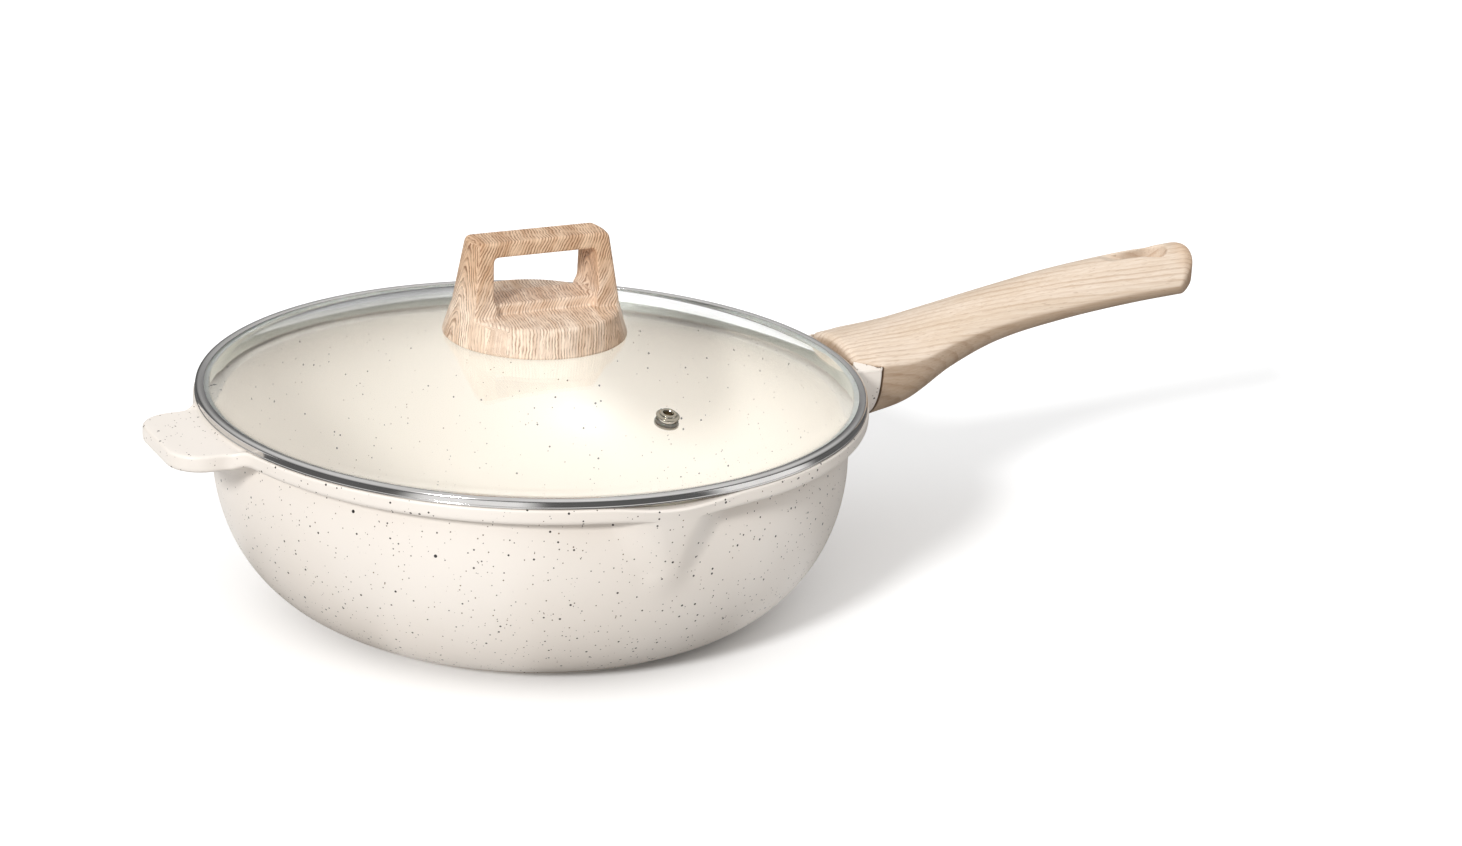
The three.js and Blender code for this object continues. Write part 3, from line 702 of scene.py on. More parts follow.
def inside_rows():
    """Cavity outline from the middle of the floor up to the flat of the rim."""
    top = (GROOVE_R - WALL, GROOVE_Z - 0.5)
    wall = bezier([(FLOOR_R, FLOOR_Z), (118, 7.5), (139.2, 45), top], 34)
    floor = np.linspace((6, FLOOR_Z), (FLOOR_R - 6, FLOOR_Z), 9)
    mouth = [(LEDGE_R, LEDGE_Z, 0.8), (MOUTH_R, LEDGE_Z, 0.9), (MOUTH_R, RIM_Z, 0.8)]
    ledge = rounded([top, *mouth, (RIM_R, RIM_Z)], 5)[1:-1]
    flat = np.linspace((ledge[-1][0], RIM_Z), (143.0, RIM_Z), 5)[1:]
    return np.vstack([floor, wall, ledge, flat])


def base_rows():
    """Underside outline from the foot inwards to the middle of the seat of the induction plate."""
    seat, top = PLATE_R + GAP, PLATE_H + GAP
    rings = []
    for r in np.linspace(FOOT_R - 3.5, seat + 3.0, 4):
        rings += [(r + 0.9, 0.0), (r + 0.55, 0.35), (r - 0.55, 0.35), (r - 0.9, 0.0)]
    foot = rounded([WALL_CURVE[0], (FOOT_R, FOOT_H, 0.2), (FOOT_R, 0.0, 0.5), (FOOT_R - 2, 0.0)], 4)[1:-1]
    rim = rounded([(seat + 1.5, 0.0), (seat, 0.0, 0.25), (seat, top, 0.2), (60, top)], 3)[1:-1]
    return np.vstack([foot, rings, rim, [(60, top), (30, top), (8, top)]])


def pan_rows():
    """The rim's outside and the wall under it, as runs of rows from the rim's flat down to the foot.

    Each row has its radius and height where the rim is plain. The lugs push the same rows out.
    """
    t = np.linspace(0, 1, 18)[1:]
    wall_z = lerp(GROOVE_Z - 1.2, BRACKET_LOW_Z, 1 - (1 - t) ** 1.6)
    low_z = np.linspace(BRACKET_LOW_Z - 0.3, 60.0, 10)
    curve = bezier(WALL_CURVE, 60)
    return {
        "step": np.linspace((143.08, RIM_Z), (143.32, RIM_Z), 4),
        "flat": np.linspace((143.4, RIM_Z), (143.7, RIM_Z), 6),
        "edge": arc(RIM_R - RIM_EDGE, RIM_Z - RIM_EDGE, RIM_EDGE, 90, 0, 6)[1:],
        "side": np.linspace((RIM_R, 91.4), (RIM_R, 89.2), 5),
        "under": arc(RIM_R - BEAD_R, GROOVE_Z + BEAD_LIFT + BEAD_R, BEAD_R, 0, -90, 8)[1:],
        "back": np.linspace((142.0, GROOVE_Z + 2.15), (137.3, GROOVE_Z + 1.5), 9),
        "neck": rounded([(137.3, GROOVE_Z + 1.4), (136.9, GROOVE_Z + 1.4, 0.4), (GROOVE_R, GROOVE_Z, 0.6),
                         (GROOVE_R + 0.3, GROOVE_Z - 2)], 3)[1:-1],
        "wall": np.stack([outer_wall(wall_z), wall_z], -1),
        "low": np.stack([outer_wall(low_z), low_z], -1),
        "foot": curve[curve[:, 1] < 59.0][::-1],
    }


def rays(plan):
    """The azimuth of each point of a plan outline, and the unit vectors that way."""
    angle = np.arctan2(plan[:, 1], plan[:, 0])
    return angle, circle(0, 0, 1, angle)


def along(run):
    """The rows of a run, each with how far through the run it is."""
    return zip(run, np.arange(1, len(run) + 1) / len(run))


def turning(run, start, end):
    """The rows of a run, each with its angle in radians, from start to end in degrees."""
    return zip(run, np.radians(np.linspace(start, end, len(run) + 1)[1:]))


def wing_zone(rows):
    """The helper handle: the bead pushed out to the lug's plan outline."""
    def outline(radius, inset):
        half, end, corner = WING_HALF - inset, WING_END - inset, WING_CORNER - inset
        return whole_lug(radius, half, end, WING_FLARE + inset, corner, WING_ZONE)

    top = outline(RIM_R - RIM_EDGE, WING_TOP_EDGE)
    angle, ray = rays(top)
    weight = smooth_step((np.hypot(*outline(RIM_R, 0).T) - RIM_R) / 5)
    zone = []

    def add(plan, z):
        zone.append(np.column_stack([plan, z]))

    step_r = [143.4, 144.0, 144.6, 145.6]
    step_z = [RIM_Z - 0.1, RIM_Z - 0.6, WING_TOP_Z + 0.15, WING_TOP_Z]
    for (r, z), wing_r, wing_z in zip(rows["step"], step_r, step_z):
        add(ray * lerp(r, wing_r, weight)[:, None], lerp(z, wing_z, weight))
    last = zone[-1][:, :2]
    for (r, z), t in along(rows["flat"]):
        add(lerp(last, top, t), lerp(z, WING_TOP_Z, weight))
    for (r, z), a in turning(rows["edge"], 90, 0):
        wing_z = WING_TOP_Z - WING_TOP_EDGE * (1 - np.sin(a))
        add(outline(r, WING_TOP_EDGE * (1 - np.cos(a))), lerp(z, wing_z, weight))
    high, low = WING_TOP_Z - WING_TOP_EDGE - 0.3, WING_BOTTOM_Z + WING_BOTTOM_EDGE + 0.3
    for (r, z), wing_z in zip(rows["side"], np.linspace(high, low, len(rows["side"]))):
        add(outline(r, 0), lerp(z, wing_z, weight))
    for (r, z), a in turning(rows["under"], 0, -90):
        wing_z = WING_BOTTOM_Z + WING_BOTTOM_EDGE * (1 + np.sin(a))
        add(outline(r, WING_BOTTOM_EDGE * (1 - np.cos(a))), lerp(z, wing_z, weight))
    last = zone[-1][:, :2]
    for (r, z), t in along(rows["back"]):
        add(lerp(last, ray * r, t), lerp(z, WING_BOTTOM_Z, weight))
    drop = lerp(0.0, GROOVE_Z + 1.4 - WING_BOTTOM_Z, weight)
    for r, z in np.vstack([rows[name] for name in ("neck", "wall", "low", "foot")]):
        add(ray * r, z - drop * smooth_step((z - 74) / 10))
    zone = np.array(zone)
    zone[:, :, :2] *= -1
    return zone, angle + np.pi


def bracket_zone(rows):
    """The bracket: the rim and the wall pushed out to the section of the main handle."""
    def outline(radius, half, inset=0.0):
        half = max(half, 3.0) - inset
        return whole_lug(radius, half, BRACKET_END - inset, BRACKET_FLARE, BRACKET_CORNER, BRACKET_ZONE)

    top = outline(RIM_R - RIM_EDGE, BRACKET_HALF, BRACKET_EDGE)
    angle, ray = rays(top)
    weight = smooth_step((np.hypot(*outline(RIM_R, BRACKET_HALF).T) - RIM_R) / 4)
    zone = []

    def add(plan, z):
        zone.append(np.column_stack([plan, np.broadcast_to(z, len(plan))]))

    for r, z in rows["step"]:
        add(ray * r, z)
    last = zone[-1][:, :2]
    for (r, z), t in along(rows["flat"]):
        add(lerp(last, top, t), z)
    for (r, z), a in turning(rows["edge"], 90, 0):
        edge_z = RIM_Z - BRACKET_EDGE * (1 - np.sin(a))
        add(outline(r, BRACKET_HALF, BRACKET_EDGE * (1 - np.cos(a))), lerp(z, edge_z, weight))
    for r, z in np.vstack([rows[name] for name in ("side", "under", "back", "neck", "wall")]):
        add(outline(r, min(BRACKET_HALF, handle_half(z) - 0.2)), z)
    last = zone[-1][:, :2]
    for (r, z), t in along(rows["low"]):
        add(lerp(last, ray * r, smooth_step(t) * 0.35 + t * 0.65), z)
    for r, z in rows["foot"]:
        add(ray * r, z)
    return np.array(zone), angle


def swollen(r, z, aside, rise):
    """Radius of the outside by a spout, where the wall swells until the bead is lost in it.

    Aside is the angle from the spout's middle, and rise how far up the swelling a point is.
    """
    flush = np.maximum(lerp(SPOUT_BASE_R, RIM_R + 0.1, rise**0.7), outer_wall(np.minimum(z, GROOVE_Z)))
    spread = np.maximum(0.40, np.clip(rise * 1.1 - 0.05, 0, 1) ** 0.8)
    near, far = SPOUT_FLUSH[0] * spread * rise**2, SPOUT_FLUSH[1] * spread
    sunk = smooth_step((far - aside) / (far - near)) * smooth_step(rise * 3)
    return lerp(r, np.where(z < RIM_Z - 1.2, flush, r), sunk)


def spout_push(grid, outside):
    """Swells the outside rows at the two spouts, pushes the wall out a little and dips the rim."""
    x, y, z = grid[..., 0], grid[..., 1], grid[..., 2].copy()
    r = np.hypot(x, y)
    aside = np.arctan2(np.abs(x), np.abs(y))
    side = np.where(aside < SPOUT_HALF_ANGLE, np.cos(np.pi / 2 * aside / SPOUT_HALF_ANGLE) ** 2, 0)
    rise = np.clip((z - SPOUT_BASE_Z) / (RIM_Z - SPOUT_BASE_Z), 0, 1)
    wide = r.copy()
    wide[outside] = swollen(r[outside], z[outside], aside[outside], rise[outside])
    wide += SPOUT_OUT * side * smooth_step(rise * 1.15)
    dip = SPOUT_DIP * side * smooth_step((z - GROOVE_Z) / (RIM_Z - GROOVE_Z))
    grow = wide / np.maximum(r, 1e-6)
    grid[..., 0], grid[..., 1], grid[..., 2] = x * grow, y * grow, z - dip
    return grid


def pan_grid():
    """The whole casting as one grid, from the middle of its floor over the rim to the middle of its base."""
    rows = pan_rows()
    line = np.vstack(list(rows.values()))
    plain = azimuth_columns()
    wing, wing_angles = wing_zone(rows)
    bracket, bracket_angles = bracket_zone(rows)
    angles = np.concatenate([bracket_angles, plain, wing_angles, plain + np.pi])
    outside = np.concatenate([bracket, swept(line, plain), wing, swept(line, plain + np.pi)], 1)
    inside = inside_rows()
    grid = np.concatenate([swept(inside, angles), outside, swept(base_rows(), angles)])
    edge = len(inside) + len(rows["step"]) + len(rows["flat"])
    return spout_push(grid, slice(edge, len(inside) + len(line)))


def pan_pieces():
    mesh_piece("pan_shell", capped_grid(pan_grid()), "coating", "pan", ["pan_body"], sharp=50)
    tongue_piece()
    outline = rounded([(0, 0), (PLATE_R, 0, 0.35), (PLATE_R, PLATE_H, 0.2), (0, PLATE_H)])
    outline = np.vstack([np.linspace(outline[0], outline[1], 6), outline[2:]])
    plate = mesh_piece("induction_disc", turned(outline, 256), "plate", "pan", ["induction_plate"])
    holes = [circle(0, 0, r, a) for r, n in PLATE_RINGS for a in np.arange(n) * 2 * np.pi / n]
    points, faces = turned([(0, -2), (PLATE_HOLE_R, -2), (PLATE_HOLE_R, 3), (0, 3)], 40)
    bore(plate, [(points + [*hole, 0], faces) for hole in holes])


def tongue_piece():
    """The bar that runs from the bracket into the grip."""
    low = np.array([BRACKET_END - 1, -TONGUE_HALF, TONGUE_Z[0]])
    high = np.array([TONGUE_END, TONGUE_HALF, TONGUE_Z[1]])
    middle, half = (low + high) / 2, (high - low) / 2

    def field(*at):
        return both(1.0, *[np.abs(a - m) - h for a, m, h in zip(at, middle, half)])

    mesh_piece("pan_tongue", skin(field, low - 1, high + 1, 0.7), "coating", "pan", sharp=70)


# ---- main handle ----
def station(x):
    """Half width, crown, crease and belly at x: Catmull-Rom through each column of the stations."""
    final = len(STATIONS) - 1
    x = np.clip(x, STATIONS[0, 0], STATIONS[-1, 0])
    i = np.clip(np.searchsorted(STATIONS[:, 0], x, "right") - 1, 0, final - 1)
    a, b, c, d = (np.moveaxis(STATIONS[np.clip(i + k, 0, final)], -1, 0) for k in (-1, 0, 1, 2))
    span = c[0] - b[0]
    t = (x - b[0]) / span
    start = (c - a) / (c[0] - a[0]) * span
    end = (d - b) / (d[0] - b[0]) * span
    curve = ((2 * t**3 - 3 * t**2 + 1) * b + (t**3 - 2 * t**2 + t) * start
             + (3 * t**2 - 2 * t**3) * c + (t**3 - t**2) * end)
    return curve[1:]


def section(x):
    """The station at x, drawn in towards the nose where the handle lies on the bracket."""
    half, crown, crease, belly = station(x)
    front, nose_half, nose_crown, nose_crease = NOSE
    t = np.clip((x - front) / (STATIONS[0, 0] - front), 0, 1)
    return lerp(nose_half, half, t), lerp(nose_crown, crown, t), lerp(nose_crease, crease, t), belly


def capsule(x, y, x0, x1, r0, r1):
    """Distance in plan from a slot whose half width goes from r0 to r1."""
    t = np.clip((x - x0 - r0) / (x1 - r1 - x0 - r0), 0, 1)
    return np.hypot(x - lerp(x0 + r0, x1 - r1, t), y) - lerp(r0, r1, t)


def grip_field(x, y, z):
    """Crown over belly with a crease between them, a nose on the bracket, a round end and a hang slot."""
    first, last = STATIONS[0, 0], STATIONS[-1, 0]
    half, crown, crease, belly = section(x)
    v = np.abs(y) / half
    up = (z - crease) / (crown - crease)
    down = np.maximum((crease - z) / (crease - belly), 0)
    top = (up + v**CROWN_POWER - 1) * (crown - crease) / np.hypot(1, CROWN_POWER * np.minimum(v, 1) * 0.4)
    bottom = (down**BELLY_POWER + v**BELLY_POWER) ** (1 / BELLY_POWER) - 1
    bottom = bottom * np.minimum(crease - belly, half)
    lie = both(1.3, top, bottom)
    deep = -9.0
    under = np.where(x < first, np.maximum(RIM_Z + GAP - z, deep), deep)
    nose = both(0.5, both(3.2, lie, NOSE[0] - x), under)
    lie = np.where(x < first + 3, nose, lie)
    t = np.maximum((x - HANDLE_ROUND_START) / (last - HANDLE_ROUND_START), 0)
    end = (np.hypot(t, v) - 1) * (last - HANDLE_ROUND_START)
    body = both(0.05 + 7.5 * smooth_step(t * 1.4), lie, end)
    slot = capsule(x, y, *HANG_SLOT)
    ramp_z = crown - HANG_RAMP_SLOPE * (x - HANG_RAMP[0])
    ramp = both(1.2, capsule(x, y, *HANG_RAMP), ramp_z - z)
    socket = np.maximum(np.maximum(x - TONGUE_END - 0.5, np.abs(y) - TONGUE_HALF - 0.5),
                        np.maximum(TONGUE_Z[0] - 0.5 - z, z - TONGUE_Z[1] - 0.5))
    around = np.hypot(x - HANDLE_SCREW_X, y)
    pocket = np.maximum(around - HEAD_POCKET_R, z - HANDLE_SEAT_Z)
    shaft = np.maximum(around - SCREW_R - GAP, z - TONGUE_Z[0])
    return without(0.5, without(1.4, body, either(1.0, slot, ramp)), socket, either(0.1, pocket, shaft))


def shoulder_field(x, y, z):
    """Casting that slopes from the bracket's edges up to the sides of the nose."""
    half, _, crease, _ = section(x)
    side = np.abs(y)
    across = np.clip((side - half) / (BRACKET_HALF - 0.4 - half), 0, 1.3)
    top = z - lerp(crease - 0.3, RIM_Z - 0.25, across)
    ends = np.maximum(145.6 - x, x - BRACKET_END + 0.2)
    return both(0.5, top, np.maximum(half + 0.3 - side, side - BRACKET_HALF - 0.4), ends, RIM_Z - 1.2 - z)


def handle_pieces():
    shoulders = skin(shoulder_field, (145, -28, 91), (159, 28, 98), 0.4)
    mesh_piece("bracket_shoulders", shoulders, "coating", "pan", sharp=60)
    grip = skin(grip_field, (145, -28, 62), (335, 28, 130), 0.7)
    mesh_piece("handle_grip", grip, "handle_wood", "pan", ["main_handle"], sharp=75)
    at = Matrix.Translation((HANDLE_SCREW_X, 0, 0))
    inner = SCREW_R + GAP
    seat = HANDLE_SEAT_Z - GAP
    flat_z = seat - 0.8
    spring_z = flat_z - GAP - SPRING_WASHER_H
    head_h = 2.8
    washer = [(inner, flat_z, 0.1), (5.2, flat_z, 0.2), (5.2, seat, 0.2), (inner, seat, 0.1)]
    lathed("handle_flat_washer", washer, "steel", "pan", at)
    spring_washer("handle_spring_washer", inner, 4.5, spring_z, "pan", at)
    screw("handle_screw", 4.3, head_h, 14, spring_z - GAP - head_h, "pan", at)


# ---- small hardware ----
def moved(shape, place):
    points, faces = shape
    m = np.array(place)
    return points @ m[:3, :3].T + m[:3, 3], faces


def lathed(node, corners, slot, body, place=Matrix(), segments=64):
    """A turned piece that takes a node's place. The corners are [radius, height, fillet]."""
    shape = turned(rounded(corners, 4), segments)
    mesh_piece(node + "_turned", moved(shape, place), slot, body, [node])


def screw(node, head_r, head_h, length, z0, body, place=Matrix()):
    """Pan-head screw that stands on its head, with a cross recess below."""
    tip = z0 + head_h + length
    pitch, thread_depth, plain = 0.8, 0.28, 1.2

    def field(x, y, z):
        r = np.hypot(x, y)
        h = z - z0
        dome = np.hypot(r, (head_h - h) * head_r / head_h * 0.98) - head_r
        head = both(0.4, dome, h - head_h)
        wave = np.cos(2 * np.pi * (h / pitch - np.arctan2(y, x) / (2 * np.pi)))
        thread = SCREW_R - thread_depth * (0.5 + 0.5 * wave)
        shank = both(0.5, r - np.where(h > head_h + plain, thread, SCREW_R), z - tip, z0 + 0.5 - z)
        arm = head_r * 0.55 * (1 - 0.25 * np.clip(h / head_h, 0, 1))
        thin = 0.55 * (1 - 0.3 * np.clip(h / head_h, 0, 1))
        one = np.maximum(np.abs(x) - arm, np.abs(y) - thin)
        two = np.maximum(np.abs(y) - arm, np.abs(x) - thin)
        return without(0.25, either(0.4, head, shank), np.maximum(np.minimum(one, two), h - head_h * 0.55))

    reach = head_r + 0.6
    shape = skin(field, (-reach, -reach, z0 - 0.5), (reach, reach, tip + 0.5), 0.2)
    mesh_piece(node + "_cross", moved(shape, place), "steel", body, [node], sharp=50)


def spring_washer(node, inner, outer, z0, body, place=Matrix()):
    """Ring with a slanting split."""
    middle, half = (inner + outer) / 2, (outer - inner) / 2
    height = SPRING_WASHER_H

    def field(x, y, z):
        level = z - z0 - height / 2
        ring = both(0.25, np.abs(np.hypot(x, y) - middle) - half, np.abs(level) - height / 2)
        return without(0.15, ring, np.where(x > 0, np.abs(y - 0.6 * level) - 0.35, 1.0))

    reach = outer + 0.6
    shape = skin(field, (-reach, -reach, z0 - 0.4), (reach, reach, z0 + height + 0.4), 0.18)
    mesh_piece(node + "_split", moved(shape, place), "steel", body, [node], sharp=50)


def bore(piece, cutters):
    """Cuts the cutters' shapes out of a piece."""
    points, faces = [], []
    for more, sides in cutters:
        faces += [[len(points) + i for i in side] for side in sides]
        points += (more * MM).tolist()
    mesh = bpy.data.meshes.new("cutter")
    mesh.from_pydata(points, [], faces)
    cutter = shown("cutter", mesh)
    step = piece.modifiers.new("bore", "BOOLEAN")
    step.operation, step.solver, step.object = "DIFFERENCE", "EXACT", cutter
    bpy.context.view_layer.update()
    done = bpy.data.meshes.new_from_object(piece.evaluated_get(bpy.context.evaluated_depsgraph_get()))
    piece.modifiers.clear()
    piece.data = done
    done.set_sharp_from_angle(angle=np.radians(35))
    bpy.data.objects.remove(cutter)
    bpy.data.meshes.remove(mesh)


# ---- lid ----
def dome(r, sunk=0.0):
    """Height of the glass at a radius, or of the surface that lies sunk below it."""
    sphere = GLASS_SPHERE_R - sunk
    return GLASS_APEX_Z - GLASS_SPHERE_R + np.sqrt(sphere**2 - r**2)


def glass_outline():
    """From the bore out along the underside, round the rim, and back over the top."""
    r = np.linspace(GLASS_BORE_R + 1, GLASS_LAND_R - 3, 46)
    under = list(zip(r, dome(r, GLASS_T)))
    over = list(zip(r[::-1], dome(r[::-1])))
    land = GLASS_LAND_TOP - LAND_T
    rim = rounded([
        under[-1], (GLASS_LAND_R - 1, land, 2.5), (GLASS_R, land, 1.0), (GLASS_R, GLASS_LAND_TOP, 1.0),
        (GLASS_LAND_R, GLASS_LAND_TOP, 2.5), over[0],
    ], 5)[1:-1]
    hole = rounded([over[-1], (GLASS_BORE_R, dome(GLASS_BORE_R), 0.4),
                    (GLASS_BORE_R, dome(GLASS_BORE_R, GLASS_T), 0.4), under[0]], 3)[1:-1]
    return np.vstack([under, rim, over, hole])


def vent_place():
    """Where the vent sits, square to the glass."""
    x, y = VENT_R * np.cos(VENT_AZIMUTH), VENT_R * np.sin(VENT_AZIMUTH)
    at = Vector((x, y, dome(VENT_R)))
    up = at - Vector((0, 0, GLASS_APEX_Z - GLASS_SPHERE_R))
    return Matrix.Translation(at) @ up.to_track_quat("Z", "Y").to_matrix().to_4x4()


def lid_pieces():
    place = vent_place()
    glass = mesh_piece("lid_dome", turned(glass_outline(), 288), "glass", "lid", ["lid_glass"])
    hole = turned([(0, -8), (VENT_HOLE_R, -8), (VENT_HOLE_R, 8), (0, 8)], 48)
    bore(glass, [moved(hole, place)])
    foot = RIM_Z + GAP
    floor = foot + BAND_T
    inner = BAND_R - BAND_T
    seal = ring_corners(SKIRT_R + 0.6, inner - 0.3, floor + 0.03, GLASS_LAND_TOP - LAND_T - 0.03, 0.05)
    mesh_piece("glass_seal", turned(rounded(seal, 2), 288), "silicone", "lid")
    band = [
        (BAND_R + 0.25, foot, 0.2), (BAND_R + 0.25, foot + 0.55, 0.2), (BAND_R, foot + 0.7, 0.2),
        (BAND_R, BAND_TOP_Z - 0.1, 1.5), (142.0, BAND_TOP_Z + 0.03, 4.0),
        (BAND_LIP_R, BAND_TOP_Z - 0.35, 0.12), (BAND_LIP_R, BAND_TOP_Z - 0.62, 0.1),
        (inner, BAND_TOP_Z - 0.6, 0.4), (inner, floor, 0.1), (SKIRT_R + 0.1, floor, 0.5),
        (SKIRT_R - 1.0, SKIRT_BOTTOM_Z, 0.2), (SKIRT_R - 0.5, SKIRT_BOTTOM_Z, 0.2),
        (SKIRT_R + 0.4, foot, 0.6),
    ]
    lathed("lid_band", band, "steel", "lid", segments=288)
    vent_pieces(place)


def vent_pieces(place):
    """The two-step eyelet, and what holds it in the glass."""
    eyelet = [
        (2, -5.2, 0.1), (2.7, -5.2, 0.2), (2.7, GAP), (5.0, GAP, 0.1), (4.9, 0.85, 0.25), (4.2, 1.0, 0.3),
        (3.7, 1.15, 0.2), (3.6, 1.95, 0.45), (2.4, 2.1, 0.35), (2.0, 1.4, 0.3),
    ]
    lathed("vent_eyelet", eyelet, "steel", "lid", place, 96)
    low = -GLASS_T
    for node, slot, inner, outer, z0, z1 in (
        ("vent_sleeve", "silicone", 3, 3.6, low, -0.1),
        ("vent_gasket", "silicone", 3, 4.8, low - 1, low - GAP),
        ("vent_collar", "steel", 3, 5.2, low - 2.2, low - 1.3),
    ):
        lathed(node, ring_corners(inner, outer, z0, z1), slot, "lid", place)


def ring_corners(inner, outer, z0, z1, fillet=0.12):
    return [(inner, z0, fillet), (outer, z0, fillet), (outer, z1, fillet), (inner, z1, fillet)]


# ---- knob ----
def knob_field(x, y, z):
    """A turned base, and on it a bridge with sloping faces that a finger window goes through."""
    r = np.hypot(x, y)
    tall = KNOB_TOP_Z - KNOB_SHOULDER_Z
    lean = (KNOB_BASE_R - KNOB_SHOULDER_R) / (KNOB_SHOULDER_Z - KNOB_BASE_Z - 1.2)
    base = (r - KNOB_SHOULDER_R - lean * (KNOB_SHOULDER_Z - z)) / np.hypot(1, lean)
    base = both(1.0, both(1.7, base, z - KNOB_SHOULDER_Z), KNOB_BASE_Z - z)
    rise = (KNOB_SHOULDER_R - KNOB_TOP_R) / tall
    side = (r - KNOB_TOP_R - rise * (KNOB_TOP_Z - z)) / np.hypot(1, rise)
    slope = (KNOB_SHOULDER_HALF - KNOB_TOP_HALF) / tall
    face = (np.abs(y) - KNOB_TOP_HALF - slope * (KNOB_TOP_Z - z)) / np.hypot(1, slope)
    bridge = both(1.5, both(2.6, side, z - KNOB_TOP_Z), face)
    low, high = WINDOW_Z
    saddle = both(1.0, np.abs(x) - WINDOW_HALF[0] + 1.6, SADDLE_HALF - np.abs(y), z - low - 4)
    edge = np.abs(x) - lerp(*WINDOW_HALF, (z - low) / (high - low))
    window = both(2.6, both(4.7, edge, low - z), z - high)
    bridge = without(1.2, without(1.2, bridge, saddle), window)
    knob = either(0.9, base, bridge)
    ceiling = KNOB_SHOULDER_Z - KNOB_SHELL
    hollow = both(0.8, r - KNOB_SHOULDER_R + KNOB_SHELL - lean * (ceiling - z), z - ceiling, BOSS_R + 0.3 - r)
    foot = both(0.4, r - BOSS_R - 2, z - KNOB_BASE_Z - BOSS_LIFT)
    pocket = both(0.2, r - INSERT_R - GAP, z - KNOB_BASE_Z - BOSS_LIFT - INSERT_H - 1)
    return without(0.6, knob, either(0.4, hollow, foot, pocket))


def knob_pieces():
    reach = KNOB_BASE_R + 1
    knob = skin(knob_field, (-reach, -reach, KNOB_BASE_Z - 1), (reach, reach, KNOB_TOP_Z + 1), 0.6)
    mesh_piece("knob_bridge", knob, "knob_wood", "lid", ["knob"], sharp=75)
    inner = SCREW_R + GAP
    top, under = GLASS_APEX_Z, GLASS_APEX_Z - GLASS_T
    gasket_h = 1.2
    for node, r0, r1, z0, z1 in (
        ("knob_gasket_upper", inner, BOSS_R + 1, top + GAP, top + GAP + gasket_h),
        ("knob_sleeve", inner, GLASS_BORE_R - GAP, under + 0.1, top),
        ("knob_gasket_lower", inner, 9.5, under - GAP - gasket_h, under - GAP),
    ):
        lathed(node, ring_corners(r0, r1, z0, z1, 0.2), "silicone", "lid")
    low = KNOB_BASE_Z + BOSS_LIFT + 0.4
    high = low + INSERT_H
    insert = [(inner, low, 0.1), (INSERT_R, low, 0.3), (INSERT_R, high, 0.3), (inner, high, 0.1)]
    lathed("knob_insert", insert, "brass", "lid")
    z = under - 2 * GAP - gasket_h - 1.8
    cup = [(inner, z), (6.2, z, 0.6), (9.2, z + 0.9, 0.4), (9.2, z + 1.8, 0.1), (8.6, z + 1.8, 0.1),
           (5.8, z + 0.9, 0.5), (inner, z + 0.9)]
    lathed("knob_cup_washer", cup, "steel", "lid")
    spring_washer("knob_spring_washer", inner, 4.6, z - GAP - SPRING_WASHER_H, "lid")
    head_h = 3
    screw("knob_screw", 4.8, head_h, 17, z - 2 * GAP - SPRING_WASHER_H - head_h, "lid")


# ---- studio ----
CAMERA_AT = (-0.60297, -1.33542, 0.60276)
CAMERA_RIGHT = Vector((0.89207, -0.44975, 0.04400))
CAMERA_UP = Vector((0.11415, 0.31847, 0.94103))
CAMERA_LENS = 88.65
SKY_TOP = 0.86
SKY_SIDE = 0.08
KEY = 2.0
FILL = 0.12
FLOOR_HALF = 30.0
FLOOR_DROP = 0.0004  # the floor lies this far under the foot
FLOOR_BOUNCE = 0.62
FLOOR_SEEN = 1.18
FLAGS = 4.0  # bright wedges round the floor
FLAG_TURN = 3.42  # radians, that number times the azimuth of a bright wedge


def camera():
    data = bpy.data.cameras.new("camera")
    data.lens = CAMERA_LENS
    data.sensor_width = 36.0
    data.clip_end = 50
    eye = shown("camera", data)
    back = CAMERA_RIGHT.cross(CAMERA_UP)
    turn = Matrix((CAMERA_RIGHT, CAMERA_UP, back)).transposed().to_4x4()
    eye.matrix_world = Matrix.Translation(CAMERA_AT) @ turn
    bpy.context.scene.camera = eye


def sun(name, azimuth, elevation, strength, spread):
    """A distant soft light. All angles are in degrees."""
    data = bpy.data.lights.new(name, "SUN")
    data.energy = strength
    data.angle = np.radians(spread)
    a, e = np.radians([azimuth, elevation])
    way = Vector((np.cos(a) * np.cos(e), np.sin(a) * np.cos(e), np.sin(e)))
    shown(name, data).rotation_euler = way.to_track_quat("Z", "Y").to_euler()


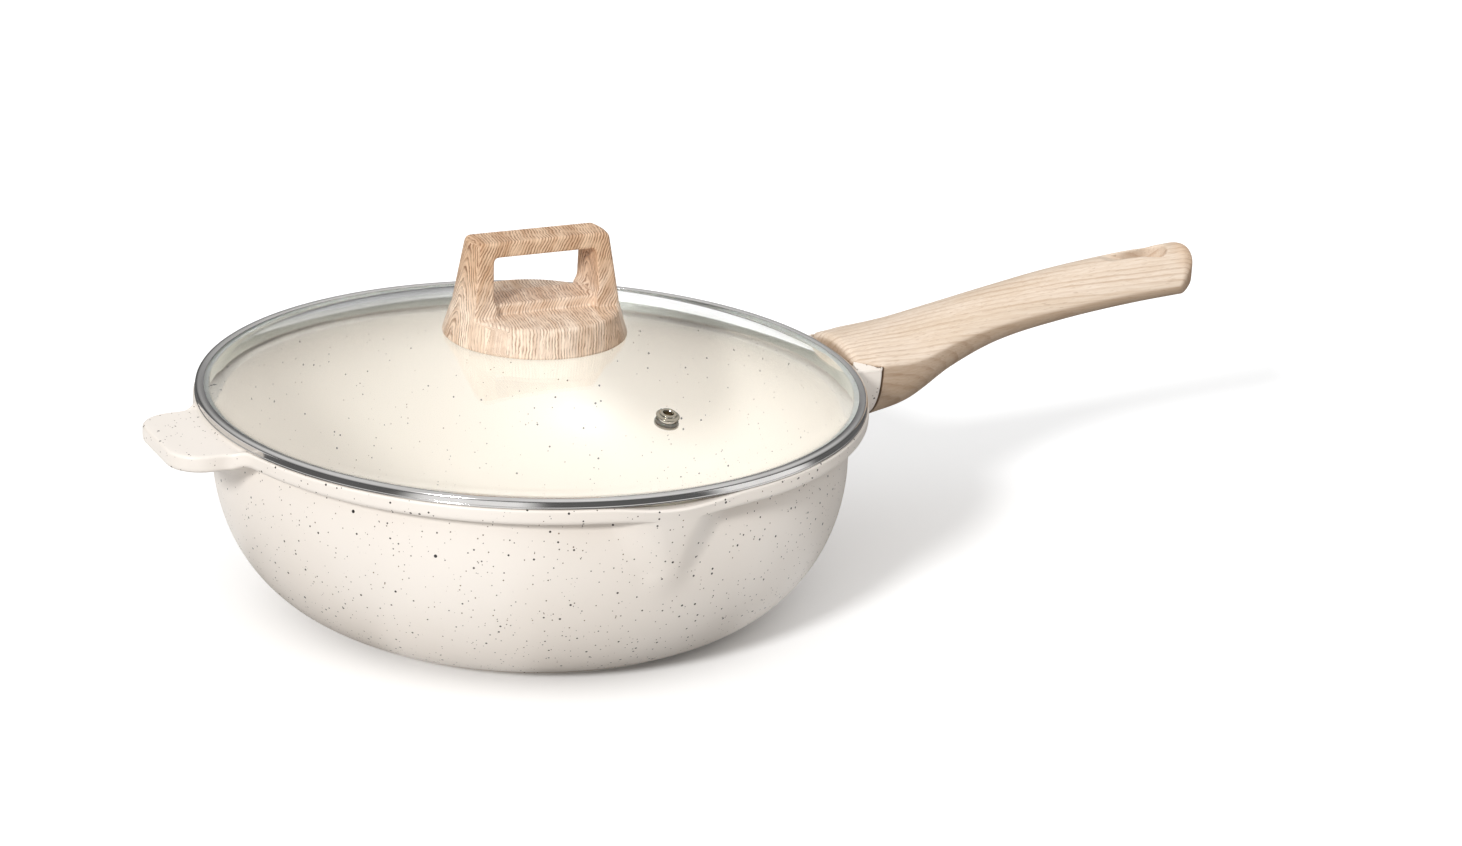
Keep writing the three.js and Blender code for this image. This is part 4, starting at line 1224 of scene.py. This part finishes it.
def floor_material():
    """White where it is looked at, also through the glass.

    As a light on the object it is duller, and steel sees dark and bright wedges in it.
    """
    s = Shader("pale_floor")
    path = s.node("LightPath").outputs
    x, y, _ = s.position()
    wave = s.math("COSINE", s.math("SUBTRACT", s.product(s.math("ARCTAN2", y, x), FLAGS), FLAG_TURN))
    flags = s.ramp(wave, 0.0, 0.65, 0.14, 1.1)
    steel = s.product(path["Is Glossy Ray"], s.math("SUBTRACT", flags, FLOOR_BOUNCE))
    bounce = s.total(steel, FLOOR_BOUNCE)
    seen = s.math("MAXIMUM", path["Is Camera Ray"], path["Is Transmission Ray"])
    bright = s.total(s.product(seen, s.math("SUBTRACT", FLOOR_SEEN, bounce)), bounce)
    grey = s.node("CombineColor", Red=bright, Green=bright, Blue=bright).outputs[0]
    matt = s.node("BsdfDiffuse", Color=grey).outputs[0]
    s.feed(s.tree.nodes["Material Output"].inputs["Surface"], matt)
    return s.material


def floor():
    mesh = bpy.data.meshes.new("floor")
    corners = ((-1, -1), (1, -1), (1, 1), (-1, 1))
    mesh.from_pydata([(x * FLOOR_HALF, y * FLOOR_HALF, -FLOOR_DROP) for x, y in corners], [], [(0, 1, 2, 3)])
    mesh.materials.append(floor_material())
    shown("floor", mesh)


def studio():
    """A pale floor under a bright overhead sky that darkens to the sides, and a low soft key light."""
    floor()
    world = bpy.data.worlds.new("studio")
    bpy.context.scene.world = world
    world.use_nodes = True
    tree = world.node_tree
    way = tree.nodes.new("ShaderNodeTexCoord")
    height = tree.nodes.new("ShaderNodeSeparateXYZ")
    sky = tree.nodes.new("ShaderNodeMapRange")
    sky.interpolation_type = "SMOOTHSTEP"
    for socket, value in zip(sky.inputs[1:], (0.0, 0.75, SKY_SIDE, SKY_TOP)):
        socket.default_value = value
    tree.links.new(way.outputs["Generated"], height.inputs[0])
    tree.links.new(height.outputs["Z"], sky.inputs[0])
    tree.links.new(sky.outputs[0], tree.nodes["Background"].inputs["Strength"])
    tree.nodes["Background"].inputs["Color"].default_value = (1, 1, 1, 1)
    sun("key", 218, 27, KEY, 9)
    sun("fill", 290, 50, FILL, 60)
    bpy.context.scene.view_settings.view_transform = "Standard"


camera()
studio()
pan_pieces()
handle_pieces()
lid_pieces()
knob_pieces()
